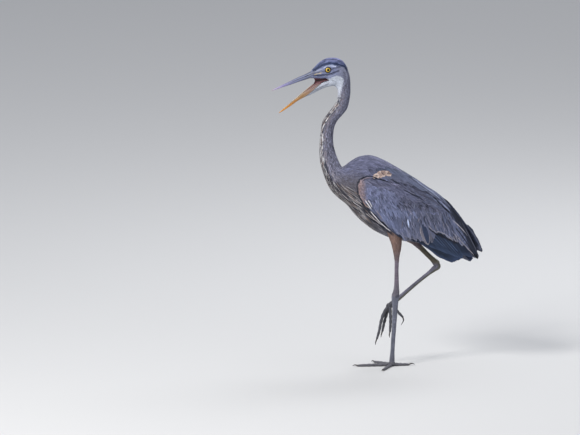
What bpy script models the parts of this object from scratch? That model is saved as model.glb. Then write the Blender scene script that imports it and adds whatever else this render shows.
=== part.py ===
"""Great blue heron, a still life-size figure standing on its left leg.

+Z is up, the bird faces -X, its left side is -Y.  The origin is the middle of
the flat underside of the standing foot's ball.  Lengths below are in mm.
"""
import math

import bmesh
import bpy
import numpy as np
from mathutils import Vector

MM = 0.001
GAP = 0.3                      # clearance between neighbouring solids
HEAD_YAW = math.radians(16.0)  # the head looks a little to the bird's left
NECK_AXIS_X = -143.0           # the head turns about this upright line
EYE_RADIUS = 9.5
EYE_CENTRE = (-194.0, 11.8, 887.7)
FAR_WING_LIFT = math.radians(2.8)
WING_THICKNESS = 8.0
TOE_RADIUS = 4.6
RINGS = 28                     # points around the trunk

# Stations of the body from the bill's base to the tail's base:
# dorsal x, dorsal z, ventral x, ventral z, half width.
BODY = [
    (-240, 883, -240, 862, 9.5),    # bill base
    (-229, 896, -229, 859, 12.5),
    (-214, 910, -216, 857, 15.5),   # forehead
    (-196, 919, -198, 856, 18.5),   # eyes
    (-178, 921, -186, 843, 19.5),   # crown
    (-160, 918, -177, 837, 19.5),
    (-144, 907, -169, 834, 18.5),   # crest's end
    (-133, 887, -164, 829, 17.5),   # nape
    (-126, 863, -161, 821, 16.5),
    (-124, 836, -161, 811, 16),
    (-125, 806, -163, 797, 16),
    (-133, 770, -167, 785, 16),     # the kink of the neck
    (-147, 750, -178, 768, 16),
    (-162, 732, -194, 747, 16),
    (-171, 713, -207, 724, 16),
    (-175, 686, -212, 688, 16),
    (-174, 659, -214, 655, 16.5),
    (-168, 635, -214, 625, 18),
    (-159, 611, -210, 598, 21),
    (-147, 592, -202, 573, 25.5),   # neck joins the shoulders
    (-136, 600, -194, 551, 31),
    (-120, 613, -181, 527, 41),
    (-95, 626, -159, 504, 51),      # shoulders
    (-62, 629, -133, 483, 58),
    (-27, 617, -105, 450, 61),
    (9, 598, -73, 422, 61),
    (44, 577, -36, 398, 58),
    (80, 554, 9, 381, 52),
    (113, 532, 56, 374, 44),
    (142, 512, 98, 369, 35),
    (168, 485, 133, 360, 27),
    (187, 450, 160, 352, 20),
    (199, 405, 181, 346, 13),       # tail's base
]
HEAD_SPAN = (0.0, 7.5)
NECK_SPANS = (("neck_upper", 7.5, 11.5), ("neck_middle", 11.5, 15.5), ("neck_lower", 15.5, 19.0))
TRUNK_SPAN = (19.0, 32.0)

TAIL = [
    (199, 405, 181, 346, 13),
    (212, 377, 196, 336, 11.5),
    (226, 350, 212, 326, 9.5),
    (239, 327, 231, 318, 7.5),
]
UPPER_BILL = [
    (-240.4, 883, -240.4, 861.3, 9.3),
    (-259, 874, -259, 856, 8.2),
    (-280, 865.5, -280, 850, 6.8),
    (-304, 854.5, -304, 842.5, 5.2),
    (-325, 845, -325, 836.6, 3.8),
    (-343, 836.5, -343, 831, 2.4),
    (-359, 828.7, -359, 827.1, 0.8),
]
LOWER_JAW = [
    (-186, 858, -170, 839, 14),
    (-196, 855.7, -182, 836.7, 13.5),
    (-211, 851.4, -199, 833, 12.5),
    (-229, 847, -217, 825.5, 11),
    (-247, 834.5, -238, 815, 9.2),
    (-265, 820, -259, 806, 7.4),
    (-286, 803, -280, 795.4, 5.6),
    (-307, 786.6, -302.6, 780.2, 4),
    (-325, 772.2, -322, 767.9, 2.4),
    (-337.5, 761.9, -336.7, 759.9, 0.8),
]
# The horn of the lower bill ends along this line, behind it the chin is feathered.
CHIN_EDGE = ((-273.0, 797.0), (-212.0, 851.0))

# The folded wing's lower and upper edge: x, z and distance from the mid-plane.
WING = [
    (-94, 537, 61, -82, 567, 58),   # bend of the wing
    (-82, 512, 61, -53, 574, 53),
    (-64, 487, 60, -18, 566, 48),
    (-41, 457, 57, 20, 557, 41),
    (-13, 427, 55, 57, 544, 33),
    (17, 400, 54, 92, 529, 26),
    (53, 385, 52, 124, 513, 20),
    (89, 378, 48, 153, 491, 17),
    (124, 363, 43, 180, 468, 16),
    (157, 343, 38, 204, 441, 14),
    (191, 320, 31, 226, 408, 12),   # longest primaries
    (214, 337, 25, 239, 381, 10),
    (237, 339, 18, 249, 360, 8),
    (257, 329, 11, 258, 336, 7),    # tip of the tertials
]

# Legs: x, y, z, half depth fore and aft, half width.
LEFT_THIGH = [(4, -37, 436, 22, 16), (9, -37, 408, 19.5, 15.5), (15.6, -36, 381, 16.2, 14), (17.3, -33, 357, 12.2, 11.2), (16.8, -30, 334, 7.8, 7.6), (17, -29, 324, 6.6, 6.4)]
LEFT_SHANK = [(16.8, -29, 323.2, 6.4, 6.2), (15.8, -25, 292, 6.0, 5.8), (15.4, -20.5, 247, 7.0, 6.2), (14.2, -17.5, 226, 9.4, 7.6), (11.8, -15.8, 214, 11, 8.6)]
LEFT_TARSUS = [(11.2, -15.2, 211, 11, 8.6), (10.6, -14, 200, 10.4, 8.2), (10.6, -12.8, 186, 8.8, 6.6), (9.2, -10.4, 158, 7.6, 5.5), (6.4, -6.8, 112, 6.4, 4.9), (4, -4, 80, 6.2, 4.8), (1.8, -1.8, 44, 6.2, 5), (0.6, -0.6, 22, 7.6, 6.4), (0, 0, 11, 8, 7)]
RIGHT_THIGH = [(-30, 35, 425, 22, 16), (0, 35, 402, 20, 15.5), (30, 34.5, 388, 15.5, 13.5), (58, 34, 372, 10.8, 10.5), (79, 33, 353, 7.8, 7.4)]
RIGHT_SHANK = [(79.6, 33, 352.5, 7.6, 7.2), (102, 33, 330, 7.4, 7.0), (117, 33, 316, 8.0, 7.4), (127, 33, 305.5, 10.5, 8.4)]
RIGHT_TARSUS = [(131, 33, 295, 9.6, 8.2), (121, 32.6, 287, 8.4, 7.2), (104, 32, 273, 6.0, 5.4), (68, 31, 243, 5.6, 4.7), (24, 30, 204, 6.4, 5), (1, 29, 185, 7.4, 6.2), (-8, 29, 177, 8, 7)]

# Toes: points x, y, z, radius from the ball of the foot; the last three are the claw.
LEFT_TOES = {
    "middle": [(-6, -1, 5.0, 5.4), (-30, -6, 3.6, 4.9), (-58, -12, 3.4, 4.5), (-84, -17, 3.0, 4.0), (-97, -19, 2.8, 3.2), (-99, -19.5, 2.9, 2.2), (-108, -21.5, 4.6, 1.7), (-115, -23, 2.2, 0.5)],
    "inner": [(-4, 3, 5.0, 5.2), (-22, 19, 3.6, 4.7), (-41, 34, 3.2, 4.2), (-54, 44, 2.8, 3.2), (-55.5, 45.5, 2.9, 2.2), (-62, 51, 4.6, 1.7), (-67, 55.5, 2.2, 0.5)],
    "outer": [(-2, -5, 5.0, 5.2), (-7, -28, 3.6, 4.8), (-12, -52, 3.3, 4.4), (-17, -76, 2.9, 3.3), (-17.5, -78, 2.9, 2.2), (-19.5, -87, 4.4, 1.7), (-21, -94, 2.2, 0.5)],
    "hallux": [(5, 1, 5.0, 5.0), (24, 6, 3.6, 4.6), (46, 12, 3.0, 3.3), (48, 12.5, 3.0, 2.3), (58, 15.5, 5.4, 1.8), (67, 18.5, 2.2, 0.5)],
}
RIGHT_TOES = {
    "middle": [(-16, 27, 170, 5.2), (-28, 26, 150, 4.7), (-35, 24, 126, 4.4), (-40, 22, 100, 4.0), (-46, 21, 79, 3.2), (-46.6, 20.9, 77, 2.2), (-50, 20.4, 67, 1.7), (-51, 20, 58, 0.5)],
    "outer": [(-12, 33, 168, 5.0), (-20, 36, 147, 4.6), (-27, 39, 121, 4.2), (-32, 40.5, 98, 3.2), (-32.6, 40.6, 96, 2.2), (-35.6, 41, 85, 1.7), (-37, 41, 77, 0.5)],
    "inner": [(-8, 23, 168, 5.0), (-6, 19, 146, 4.5), (-6, 15.5, 122, 4.1), (-7, 13.5, 102, 3.2), (-7.2, 13.4, 100, 2.2), (-9, 13, 90, 1.7), (-8, 13, 82, 0.5)],
    "hallux": [(1, 31, 172, 4.8), (13, 32, 158, 4.4), (27, 33, 143, 3.4), (28.3, 33, 141.8, 2.3), (31, 33, 131, 1.8), (24, 33, 117, 0.5)],
}


# ---------------------------------------------------------------- scene set-up
for old in list(bpy.data.objects):
    bpy.data.objects.remove(old, do_unlink=True)
for old in list(bpy.data.collections):
    bpy.data.collections.remove(old)

PARTS = bpy.data.collections.new("great_blue_heron")
CUTTERS = bpy.data.collections.new("cutters")
bpy.context.scene.collection.children.link(PARTS)
bpy.context.scene.collection.children.link(CUTTERS)
ROOT = bpy.data.objects.new("heron_frame", None)
PARTS.objects.link(ROOT)


def material(name, colour, roughness, metallic=0.0):
    mat = bpy.data.materials.new(name)
    mat.use_nodes = True
    bsdf = mat.node_tree.nodes["Principled BSDF"]
    bsdf.inputs["Base Color"].default_value = (*colour, 1.0)
    bsdf.inputs["Roughness"].default_value = roughness
    bsdf.inputs["Metallic"].default_value = metallic
    mat.diffuse_color = (*colour, 1.0)
    return mat


PLUMAGE = material("plumage", (0.150, 0.162, 0.235), 0.85)
WING_PLUMAGE = material("wing_plumage", (0.120, 0.134, 0.215), 0.85)
NECK_PLUMAGE = material("neck_plumage", (0.175, 0.180, 0.250), 0.85)
HEAD_PLUMAGE = material("head_plumage", (0.150, 0.170, 0.290), 0.85)
CHIN_PLUMAGE = material("chin_plumage", (0.480, 0.530, 0.620), 0.85)
THIGH_PLUMAGE = material("thigh_plumage", (0.252, 0.194, 0.183), 0.85)
TAIL_PLUMAGE = material("tail_plumage", (0.070, 0.085, 0.140), 0.85)
BILL_HORN = material("bill_horn", (0.160, 0.160, 0.200), 0.45)
BILL_YELLOW = material("bill_yellow", (0.480, 0.330, 0.110), 0.45)
LEG_SKIN = material("leg_skin", (0.210, 0.205, 0.255), 0.6)
CLAW_HORN = material("claw_horn", (0.060, 0.055, 0.065), 0.45)
EYE_GLASS = material("eye_yellow", (0.750, 0.520, 0.060), 0.1)


# ------------------------------------------------------------------- geometry
def spline(table, s):
    """Catmull-Rom value of a table of stations at the fractional index s."""
    last = len(table) - 1
    s = min(max(s, 0.0), float(last))
    i = min(int(s), last - 1)
    t = s - i
    p = [np.array(table[min(max(k, 0), last)], float) for k in (i - 1, i, i + 1, i + 2)]
    if i == 0:
        p[0] = 2 * p[1] - p[2]
    if i == last - 1:
        p[3] = 2 * p[2] - p[1]
    return 0.5 * (2 * p[1] + (p[2] - p[0]) * t + (2 * p[0] - 5 * p[1] + 4 * p[2] - p[3]) * t ** 2
                  + (3 * p[1] - p[0] - 3 * p[2] + p[3]) * t ** 3)


def smooth(t):
    t = min(max(t, 0.0), 1.0)
    return t * t * (3 - 2 * t)


def yaw(p, angle):
    x, y, z = p
    dx = x - NECK_AXIS_X
    return (NECK_AXIS_X + dx * math.cos(angle) - y * math.sin(angle),
            dx * math.sin(angle) + y * math.cos(angle), z)


def station(table, s):
    """Centre, upward direction, half height and half width of a cross-section."""
    xt, zt, xb, zb, w = spline(table, s)
    centre = ((xt + xb) / 2, (zt + zb) / 2)
    up = ((xt - xb) / 2, (zt - zb) / 2)
    h = math.hypot(*up)
    return centre, (up[0] / h, up[1] / h), h, w


def ring(table, s, count, egg=0.0, angle=0.0, grow=0.0):
    (cx, cz), (ux, uz), h, w = station(table, s)
    points = []
    for i in range(count):
        a = 2 * math.pi * i / count
        x = cx + ux * (h + grow) * math.cos(a)
        z = cz + uz * (h + grow) * math.cos(a)
        y = (w + grow) * math.sin(a) * (1 - egg * math.cos(a))
        points.append(yaw((x, y, z), angle))
    return points


def body_ring(s, count, grow=0.0):
    return ring(BODY, s, count, 0.12 * smooth((s - 19) / 4.0), HEAD_YAW * (1 - smooth((s - 6) / 5.0)), grow)


def finish(obj, mat, collection=None):
    (collection or PARTS).objects.link(obj)
    obj.parent = ROOT
    obj.data.materials.append(mat)
    obj.data.shade_smooth()
    obj.data.set_sharp_from_angle(angle=math.radians(50))
    if collection is CUTTERS:
        obj.hide_render = True
        obj.display_type = "WIRE"
    return obj


def skin_rings(name, rings, mat, collection=None):
    """Loft between unlike rings, closed at both ends by flat fans."""
    bm = bmesh.new()
    rows = [[bm.verts.new(Vector(p) * MM) for p in r] for r in rings]
    n = len(rows[0])
    for a, b in zip(rows, rows[1:]):
        for i in range(n):
            bm.faces.new((a[i], a[(i + 1) % n], b[(i + 1) % n], b[i]))
    for row, flip in ((rows[0], True), (rows[-1], False)):
        hub = bm.verts.new(sum((v.co for v in row), Vector()) / n)
        for i in range(n):
            pair = (row[i], row[(i + 1) % n])
            bm.faces.new((*(reversed(pair) if flip else pair), hub))
    bmesh.ops.recalc_face_normals(bm, faces=bm.faces[:])
    mesh = bpy.data.meshes.new(name)
    bm.to_mesh(mesh)
    bm.free()
    return finish(bpy.data.objects.new(name, mesh), mat, collection)


def samples(a, b, count):
    return [a + (b - a) * i / (count - 1) for i in range(count)]


def cut(obj, cutter):
    mod = obj.modifiers.new("cut_" + cutter.name, "BOOLEAN")
    mod.operation = "DIFFERENCE"
    mod.solver = "EXACT"
    mod.object = cutter


# ------------------------------------------------------- head, neck and trunk
JOINT = 0.012  # half of the gap between two lengths of the body, in stations
head_stations = samples(HEAD_SPAN[0], HEAD_SPAN[1] - JOINT, 13)
head = skin_rings("head", [body_ring(s, 22) for s in head_stations], HEAD_PLUMAGE)
for name, a, b in NECK_SPANS:
    skin_rings(name, [body_ring(s, 20) for s in samples(a + JOINT, b - JOINT, 7)], NECK_PLUMAGE)
trunk = skin_rings("trunk", [body_ring(s, RINGS) for s in samples(TRUNK_SPAN[0] + JOINT, TRUNK_SPAN[1], 23)], PLUMAGE)
trunk_cutter = skin_rings("trunk_clearance", [body_ring(s, RINGS, 0.6) for s in samples(TRUNK_SPAN[0], TRUNK_SPAN[1], 23)], PLUMAGE, CUTTERS)
head_cutter = skin_rings("head_clearance", [body_ring(s, 22, GAP + 0.1) for s in head_stations], HEAD_PLUMAGE, CUTTERS)

tail_rings = [ring(TAIL, s, 16) for s in samples(0.03, 3.0, 7)]
skin_rings("tail", tail_rings, TAIL_PLUMAGE)

# --------------------------------------------------------------------- bill
skin_rings("bill_upper", [ring(UPPER_BILL, s, 14, 0.0, HEAD_YAW) for s in samples(0, 6, 10)], BILL_HORN)


def jaw(name, mat, keep_front):
    """The lower jaw, cut along the edge of the feathering."""
    obj = skin_rings(name, [ring(LOWER_JAW, s, 14, 0.0, HEAD_YAW) for s in samples(0, 9, 12)], mat)
    (x0, z0), (x1, z1) = CHIN_EDGE
    a, b = Vector(yaw((x0, 0, z0), HEAD_YAW)), Vector(yaw((x1, 0, z1), HEAD_YAW))
    side = Vector(yaw((x0, 1, z0), HEAD_YAW)) - a
    normal = (b - a).cross(side).normalized()
    if normal.x > 0:
        normal.negate()              # points to the tip of the bill
    shift = normal * (GAP / 2 if keep_front else -GAP / 2)
    bm = bmesh.new()
    bm.from_mesh(obj.data)
    bmesh.ops.bisect_plane(bm, geom=bm.verts[:] + bm.edges[:] + bm.faces[:], plane_co=(a + shift) * MM,
                           plane_no=normal, clear_inner=keep_front, clear_outer=not keep_front)
    open_edges = [e for e in bm.edges if e.is_boundary]
    bmesh.ops.contextual_create(bm, geom=open_edges)
    bmesh.ops.recalc_face_normals(bm, faces=bm.faces[:])
    bm.to_mesh(obj.data)
    bm.free()
    return obj


jaw("bill_lower", BILL_YELLOW, True)
chin = jaw("chin", CHIN_PLUMAGE, False)
cut(chin, head_cutter)

# --------------------------------------------------------------------- eyes
for side, sign in (("left", -1.0), ("right", 1.0)):
    centre = Vector(yaw((EYE_CENTRE[0], sign * EYE_CENTRE[1], EYE_CENTRE[2]), HEAD_YAW)) * MM
    for name, radius, mat, collection in (("eye_" + side, EYE_RADIUS, EYE_GLASS, None),
                                          ("socket_" + side, EYE_RADIUS + GAP, EYE_GLASS, CUTTERS)):
        bm = bmesh.new()
        bmesh.ops.create_uvsphere(bm, u_segments=16, v_segments=10, radius=radius * MM)
        mesh = bpy.data.meshes.new(name)
        bm.to_mesh(mesh)
        bm.free()
        ball = finish(bpy.data.objects.new(name, mesh), mat, collection)
        ball.location = centre
        ball.rotation_euler = (math.radians(90), 0, HEAD_YAW)
        if collection is CUTTERS:
            cut(head, ball)


# -------------------------------------------------------------------- wings
def flank(x, z):
    """Distance of the trunk's surface from the mid-plane at a point seen from the side."""
    best = (1e9, 0.0)
    for s in samples(17.0, 32.0, 420):
        (cx, cz), (ux, uz), h, w = station(BODY, s)
        dx, dz = x - cx, z - cz
        across = abs(dx * uz - dz * ux)
        along = (dx * ux + dz * uz) / h
        if abs(along) < 1.25 and across < best[0]:
            egg = 0.12 * smooth((s - 19) / 4.0)
            inside = max(0.0, 1 - along * along)
            best = (across, w * math.sqrt(inside) * (1 - egg * along) if across < 2.0 else 0.0)
    return best[1]


def drawn_in(x, z):
    """How far the far wing's upper edge is drawn down behind the near one, towards its tip."""
    amount = np.interp(x, (132, 143, 155, 168, 185, 202, 212, 222, 236), (0, 2, 8, 16, 25, 29, 22, 11, 0))
    top = np.interp(x, (143, 168, 185, 202.5, 217, 232), (508, 497, 484, 463, 438, 413))
    return float(amount) * smooth((z - top + 125) / 120)


def wing(name, sign, lift):
    columns, rows = 21, 7
    bm = bmesh.new()
    layer = bm.verts.layers.deform.verify()
    grid = []
    for s in samples(0, len(WING) - 1, columns):
        xl, zl, yl, xu, zu, yu = spline(WING, s)
        line = []
        for k in range(rows):
            v = k / (rows - 1)
            x, z = xl + (xu - xl) * v, zl + (zu - zl) * v
            x, z = (-60 + (x + 60) * math.cos(lift) - (z - 540) * math.sin(lift),
                    540 + (x + 60) * math.sin(lift) + (z - 540) * math.cos(lift))
            if lift:
                z -= drawn_in(x, z)
            bulge = 5.0 * math.sin(math.pi * v) * smooth((s - 4) / 3.0) * (1 - smooth((s - 9) / 4.0))
            y = max(yl + (yu - yl) * v + bulge, flank(x, z) + 1.3)
            vert = bm.verts.new(Vector((x, sign * y, z)) * MM)
            edge = min(1.0, 0.45 + 1.6 * min(v, 1 - v)) * (1 - 0.72 * smooth((s - 5.5) / 7.0)) * (0.6 + 0.4 * smooth(s / 1.2))
            vert[layer][0] = edge
            line.append(vert)
        grid.append(line)
    for a, b in zip(grid, grid[1:]):
        for i in range(rows - 1):
            bm.faces.new((a[i], a[i + 1], b[i + 1], b[i]))
    bm.normal_update()
    if sum(f.normal.y for f in bm.faces) * sign < 0:
        bmesh.ops.reverse_faces(bm, faces=bm.faces[:])
    mesh = bpy.data.meshes.new(name)
    bm.to_mesh(mesh)
    bm.free()
    obj = finish(bpy.data.objects.new(name, mesh), WING_PLUMAGE)
    obj.vertex_groups.new(name="thickness")
    solid = obj.modifiers.new("thickness", "SOLIDIFY")
    solid.thickness = WING_THICKNESS * MM
    solid.offset = 1.0
    solid.vertex_group = "thickness"
    solid.thickness_vertex_group = 0.0
    return obj


wing("wing_left", -1.0, 0.0)
wing("wing_right", 1.0, FAR_WING_LIFT)


# --------------------------------------------------------------------- legs
def limb(name, table, count, steps, mat, round_start=0.0, round_end=0.0, collection=None, grow=0.0):
    """A limb of elliptical cross-section along its centre line, which lies nearly fore and aft."""
    last = len(table) - 1
    rings = []
    for s in samples(0, last, steps):
        x, y, z, depth, width = spline(table, s)
        ahead, behind = spline(table, min(s + 0.05, last)), spline(table, max(s - 0.05, 0))
        t = Vector((ahead - behind)[:3]).normalized()
        across = Vector((0, 1, 0))
        across = (across - t * across.dot(t)).normalized()
        deep = t.cross(across).normalized()
        rings.append((Vector((x, y, z)), t, deep, across, depth + grow, width + grow))
    ends = []
    if round_start:
        c, t, d, a, p, q = rings[0]
        ends = [(c - t * round_start, t, d, a, p * 0.62, q * 0.62)]
    rings = ends + rings
    if round_end:
        c, t, d, a, p, q = rings[-1]
        rings.append((c + t * round_end, t, d, a, p * 0.62, q * 0.62))
    loops = [[tuple(c + d * p * math.cos(2 * math.pi * i / count) + a * q * math.sin(2 * math.pi * i / count))
              for i in range(count)] for c, t, d, a, p, q in rings]
    return skin_rings(name, loops, mat, collection)


def tube(name, points, mat, flat=False, bevel=2, collection=None, grow=0.0):
    """A tapering round bar along a curve; a flat one is planed off at the ground."""
    curve = bpy.data.curves.new(name, "CURVE")
    curve.dimensions = "3D"
    curve.bevel_depth = MM
    curve.bevel_resolution = bevel
    curve.use_fill_caps = True
    bar = curve.splines.new("POLY")
    bar.points.add(len(points) - 1)
    for point, (x, y, z, radius) in zip(bar.points, points):
        point.co = (x * MM, y * MM, z * MM, 1.0)
        point.radius = radius + grow
    temp = bpy.data.objects.new(name + "_curve", curve)
    PARTS.objects.link(temp)
    bpy.context.view_layer.update()
    mesh = bpy.data.meshes.new_from_object(temp.evaluated_get(bpy.context.evaluated_depsgraph_get()))
    bpy.data.objects.remove(temp, do_unlink=True)
    bpy.data.curves.remove(curve)
    mesh.name = name
    mesh.materials.clear()
    bm = bmesh.new()
    bm.from_mesh(mesh)
    bmesh.ops.remove_doubles(bm, verts=bm.verts[:], dist=1e-6)
    if flat:
        bmesh.ops.bisect_plane(bm, geom=bm.verts[:] + bm.edges[:] + bm.faces[:], plane_co=(0, 0, 0),
                               plane_no=(0, 0, -1), clear_outer=True)
        bmesh.ops.contextual_create(bm, geom=[e for e in bm.edges if e.is_boundary])
    bmesh.ops.recalc_face_normals(bm, faces=bm.faces[:])
    bm.to_mesh(mesh)
    bm.free()
    return finish(bpy.data.objects.new(name, mesh), mat, collection)


def curve_points(points, steps):
    last = len(points) - 1
    return [tuple(spline(points, s)) for s in samples(0, last, steps)]


def pad(name, centre, radii, mat, flat, collection=None, grow=0.0):
    """The ball of the foot."""
    bm = bmesh.new()
    bmesh.ops.create_uvsphere(bm, u_segments=14, v_segments=8, radius=MM)
    bmesh.ops.scale(bm, vec=[r + grow for r in radii], verts=bm.verts[:])
    bmesh.ops.translate(bm, vec=Vector(centre) * MM, verts=bm.verts[:])
    if flat:
        bmesh.ops.bisect_plane(bm, geom=bm.verts[:] + bm.edges[:] + bm.faces[:], plane_co=(0, 0, -grow * MM),
                               plane_no=(0, 0, -1), clear_outer=True)
        bmesh.ops.contextual_create(bm, geom=[e for e in bm.edges if e.is_boundary])
    bmesh.ops.recalc_face_normals(bm, faces=bm.faces[:])
    mesh = bpy.data.meshes.new(name)
    bm.to_mesh(mesh)
    bm.free()
    return finish(bpy.data.objects.new(name, mesh), mat, collection)


def leg(side, thigh, shank, tarsus, toes, pad_centre, pad_radii, standing):
    thigh_obj = limb("thigh_" + side, thigh, 16, 9, THIGH_PLUMAGE)
    cut(thigh_obj, trunk_cutter)
    limb("shank_" + side, shank, 12, 8, LEG_SKIN, round_end=4.0)
    tarsus_obj = limb("tarsus_" + side, tarsus, 12, 11, LEG_SKIN)
    cut(tarsus_obj, limb("shank_clearance_" + side, shank, 12, 8, LEG_SKIN, round_end=4.0 + GAP,
                         collection=CUTTERS, grow=GAP + 0.1))
    pad("foot_" + side, pad_centre, pad_radii, LEG_SKIN, standing)
    cutter = pad("foot_clearance_" + side, pad_centre, pad_radii, LEG_SKIN, standing, CUTTERS, GAP + 0.15)
    cut(tarsus_obj, cutter)
    grown = []
    for toe, points in toes.items():
        body, claw = points[:-3], points[-3:]
        toe_obj = tube(f"toe_{side}_{toe}", curve_points(body, 2 * len(body) - 1), LEG_SKIN, standing)
        cut(toe_obj, cutter)
        for other in grown:
            cut(toe_obj, other)
        grown.append(tube(f"toe_clearance_{side}_{toe}", curve_points(body[:2], 3), LEG_SKIN, False, 2, CUTTERS, GAP + 0.2))
        tube(f"claw_{side}_{toe}", curve_points(claw, 5), CLAW_HORN, standing, 1)


leg("left", LEFT_THIGH, LEFT_SHANK, LEFT_TARSUS, LEFT_TOES, (0, 0, 6.5), (10.5, 9.5, 9.5), True)
leg("right", RIGHT_THIGH, RIGHT_SHANK, RIGHT_TARSUS, RIGHT_TOES, (-11, 29, 174), (9.5, 9.5, 9.5), False)
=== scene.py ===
"""Looks of the great blue heron: one skin, its plumage as solid vanes, bill, eyes and scaled legs."""
import bpy
import math
import numpy as np
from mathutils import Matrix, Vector
from mathutils.bvhtree import BVHTree


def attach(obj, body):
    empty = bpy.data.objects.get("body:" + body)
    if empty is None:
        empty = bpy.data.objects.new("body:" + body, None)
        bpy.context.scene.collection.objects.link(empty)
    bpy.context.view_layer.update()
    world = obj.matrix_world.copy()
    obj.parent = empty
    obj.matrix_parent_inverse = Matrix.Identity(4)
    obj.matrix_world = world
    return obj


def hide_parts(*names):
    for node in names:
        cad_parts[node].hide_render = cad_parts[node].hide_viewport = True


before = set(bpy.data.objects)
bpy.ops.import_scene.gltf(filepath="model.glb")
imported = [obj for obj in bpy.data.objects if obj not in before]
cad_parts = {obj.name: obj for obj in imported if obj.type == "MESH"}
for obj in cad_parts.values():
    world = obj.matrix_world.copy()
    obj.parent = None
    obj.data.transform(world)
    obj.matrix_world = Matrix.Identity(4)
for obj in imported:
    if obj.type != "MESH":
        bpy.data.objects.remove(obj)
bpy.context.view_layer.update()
MM = 0.001
RNG = np.random.default_rng(11)

# ------------------------------------------------------------------ the body's stations, as in the CAD (mm)
HEAD_YAW = math.radians(16.0)
NECK_AXIS_X = -143.0
FAR_WING_LIFT = math.radians(2.8)
EYE = np.array([-194.0, 11.8, 887.7])
EYE_R = 9.5
BODY = [
    (-240, 883, -240, 862, 9.5), (-229, 896, -229, 859, 12.5), (-214, 910, -216, 857, 15.5), (-196, 919, -198, 856, 18.5),
    (-178, 921, -186, 843, 19.5), (-160, 918, -177, 837, 19.5), (-144, 907, -169, 834, 18.5), (-133, 887, -164, 829, 17.5),
    (-126, 863, -161, 821, 16.5), (-124, 836, -161, 811, 16), (-125, 806, -163, 797, 16), (-133, 770, -167, 785, 16),
    (-147, 750, -178, 768, 16), (-162, 732, -194, 747, 16), (-171, 713, -207, 724, 16), (-175, 686, -212, 688, 16),
    (-174, 659, -214, 655, 16.5), (-168, 635, -214, 625, 18), (-159, 611, -210, 598, 21), (-147, 592, -202, 573, 25.5),
    (-136, 600, -194, 551, 31), (-120, 613, -181, 527, 41), (-95, 626, -159, 504, 51), (-62, 629, -133, 483, 58),
    (-27, 617, -105, 450, 61), (9, 598, -73, 422, 61), (44, 577, -36, 398, 58), (80, 554, 9, 381, 52),
    (113, 532, 56, 374, 44), (142, 512, 98, 369, 35), (168, 485, 133, 360, 27), (187, 450, 160, 352, 20),
    (199, 405, 181, 346, 13),
]
TAIL = [(199, 405, 181, 346, 13), (212, 377, 196, 336, 11.5), (226, 350, 212, 326, 9.5), (239, 327, 231, 318, 7.5)]
UPPER_BILL = [
    (-240.4, 883, -240.4, 861.3, 9.3), (-259, 874, -259, 856, 8.2), (-280, 865.5, -280, 850, 6.8),
    (-304, 854.5, -304, 842.5, 5.2), (-325, 845, -325, 836.6, 3.8), (-343, 836.5, -343, 831, 2.4),
    (-359, 828.7, -359, 827.1, 0.8),
]
LOWER_JAW = [
    (-186, 858, -170, 839, 14), (-196, 855.7, -182, 836.7, 13.5), (-211, 851.4, -199, 833, 12.5), (-229, 847, -217, 825.5, 11),
    (-247, 834.5, -238, 815, 9.2), (-265, 820, -259, 806, 7.4), (-286, 803, -280, 795.4, 5.6), (-307, 786.6, -302.6, 780.2, 4),
    (-325, 772.2, -322, 767.9, 2.4), (-337.5, 761.9, -336.7, 759.9, 0.8),
]
WING = [
    (-94, 537, 61, -82, 567, 58), (-82, 512, 61, -53, 574, 53), (-64, 487, 60, -18, 566, 48), (-41, 457, 57, 20, 557, 41),
    (-13, 427, 55, 57, 544, 33), (17, 400, 54, 92, 529, 26), (53, 385, 52, 124, 513, 20), (89, 378, 48, 153, 491, 17),
    (124, 363, 43, 180, 468, 16), (157, 343, 38, 204, 441, 14), (191, 320, 31, 226, 408, 12), (214, 337, 25, 239, 381, 10),
    (237, 339, 18, 249, 360, 8), (257, 329, 11, 258, 336, 7),
]
LEFT_THIGH = [(4, -37, 436, 22, 16), (9, -37, 408, 19.5, 15.5), (15.6, -36, 381, 16.2, 14), (17.3, -33, 357, 12.2, 11.2), (16.8, -30, 334, 7.8, 7.6), (17, -29, 324, 6.6, 6.4)]
LEFT_SHANK = [(16.8, -29, 323.2, 6.4, 6.2), (15.8, -25, 292, 6.0, 5.8), (15.4, -20.5, 247, 7.0, 6.2), (14.2, -17.5, 226, 9.4, 7.6), (11.8, -15.8, 214, 11, 8.6)]
LEFT_TARSUS = [(11.2, -15.2, 211, 11, 8.6), (10.6, -14, 200, 10.4, 8.2), (10.6, -12.8, 186, 8.8, 6.6), (9.2, -10.4, 158, 7.6, 5.5), (6.4, -6.8, 112, 6.4, 4.9), (4, -4, 80, 6.2, 4.8), (1.8, -1.8, 44, 6.2, 5), (0.6, -0.6, 22, 7.6, 6.4), (0, 0, 11, 8, 7)]
RIGHT_THIGH = [(-30, 35, 425, 22, 16), (0, 35, 402, 20, 15.5), (30, 34.5, 388, 15.5, 13.5), (58, 34, 372, 10.8, 10.5), (79, 33, 353, 7.8, 7.4)]
RIGHT_SHANK = [(79.6, 33, 352.5, 7.6, 7.2), (102, 33, 330, 7.4, 7.0), (117, 33, 316, 8.0, 7.4), (127, 33, 305.5, 10.5, 8.4)]
RIGHT_TARSUS = [(131, 33, 295, 9.6, 8.2), (121, 32.6, 287, 8.4, 7.2), (104, 32, 273, 6.0, 5.4), (68, 31, 243, 5.6, 4.7), (24, 30, 204, 6.4, 5), (1, 29, 185, 7.4, 6.2), (-8, 29, 177, 8, 7)]
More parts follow.
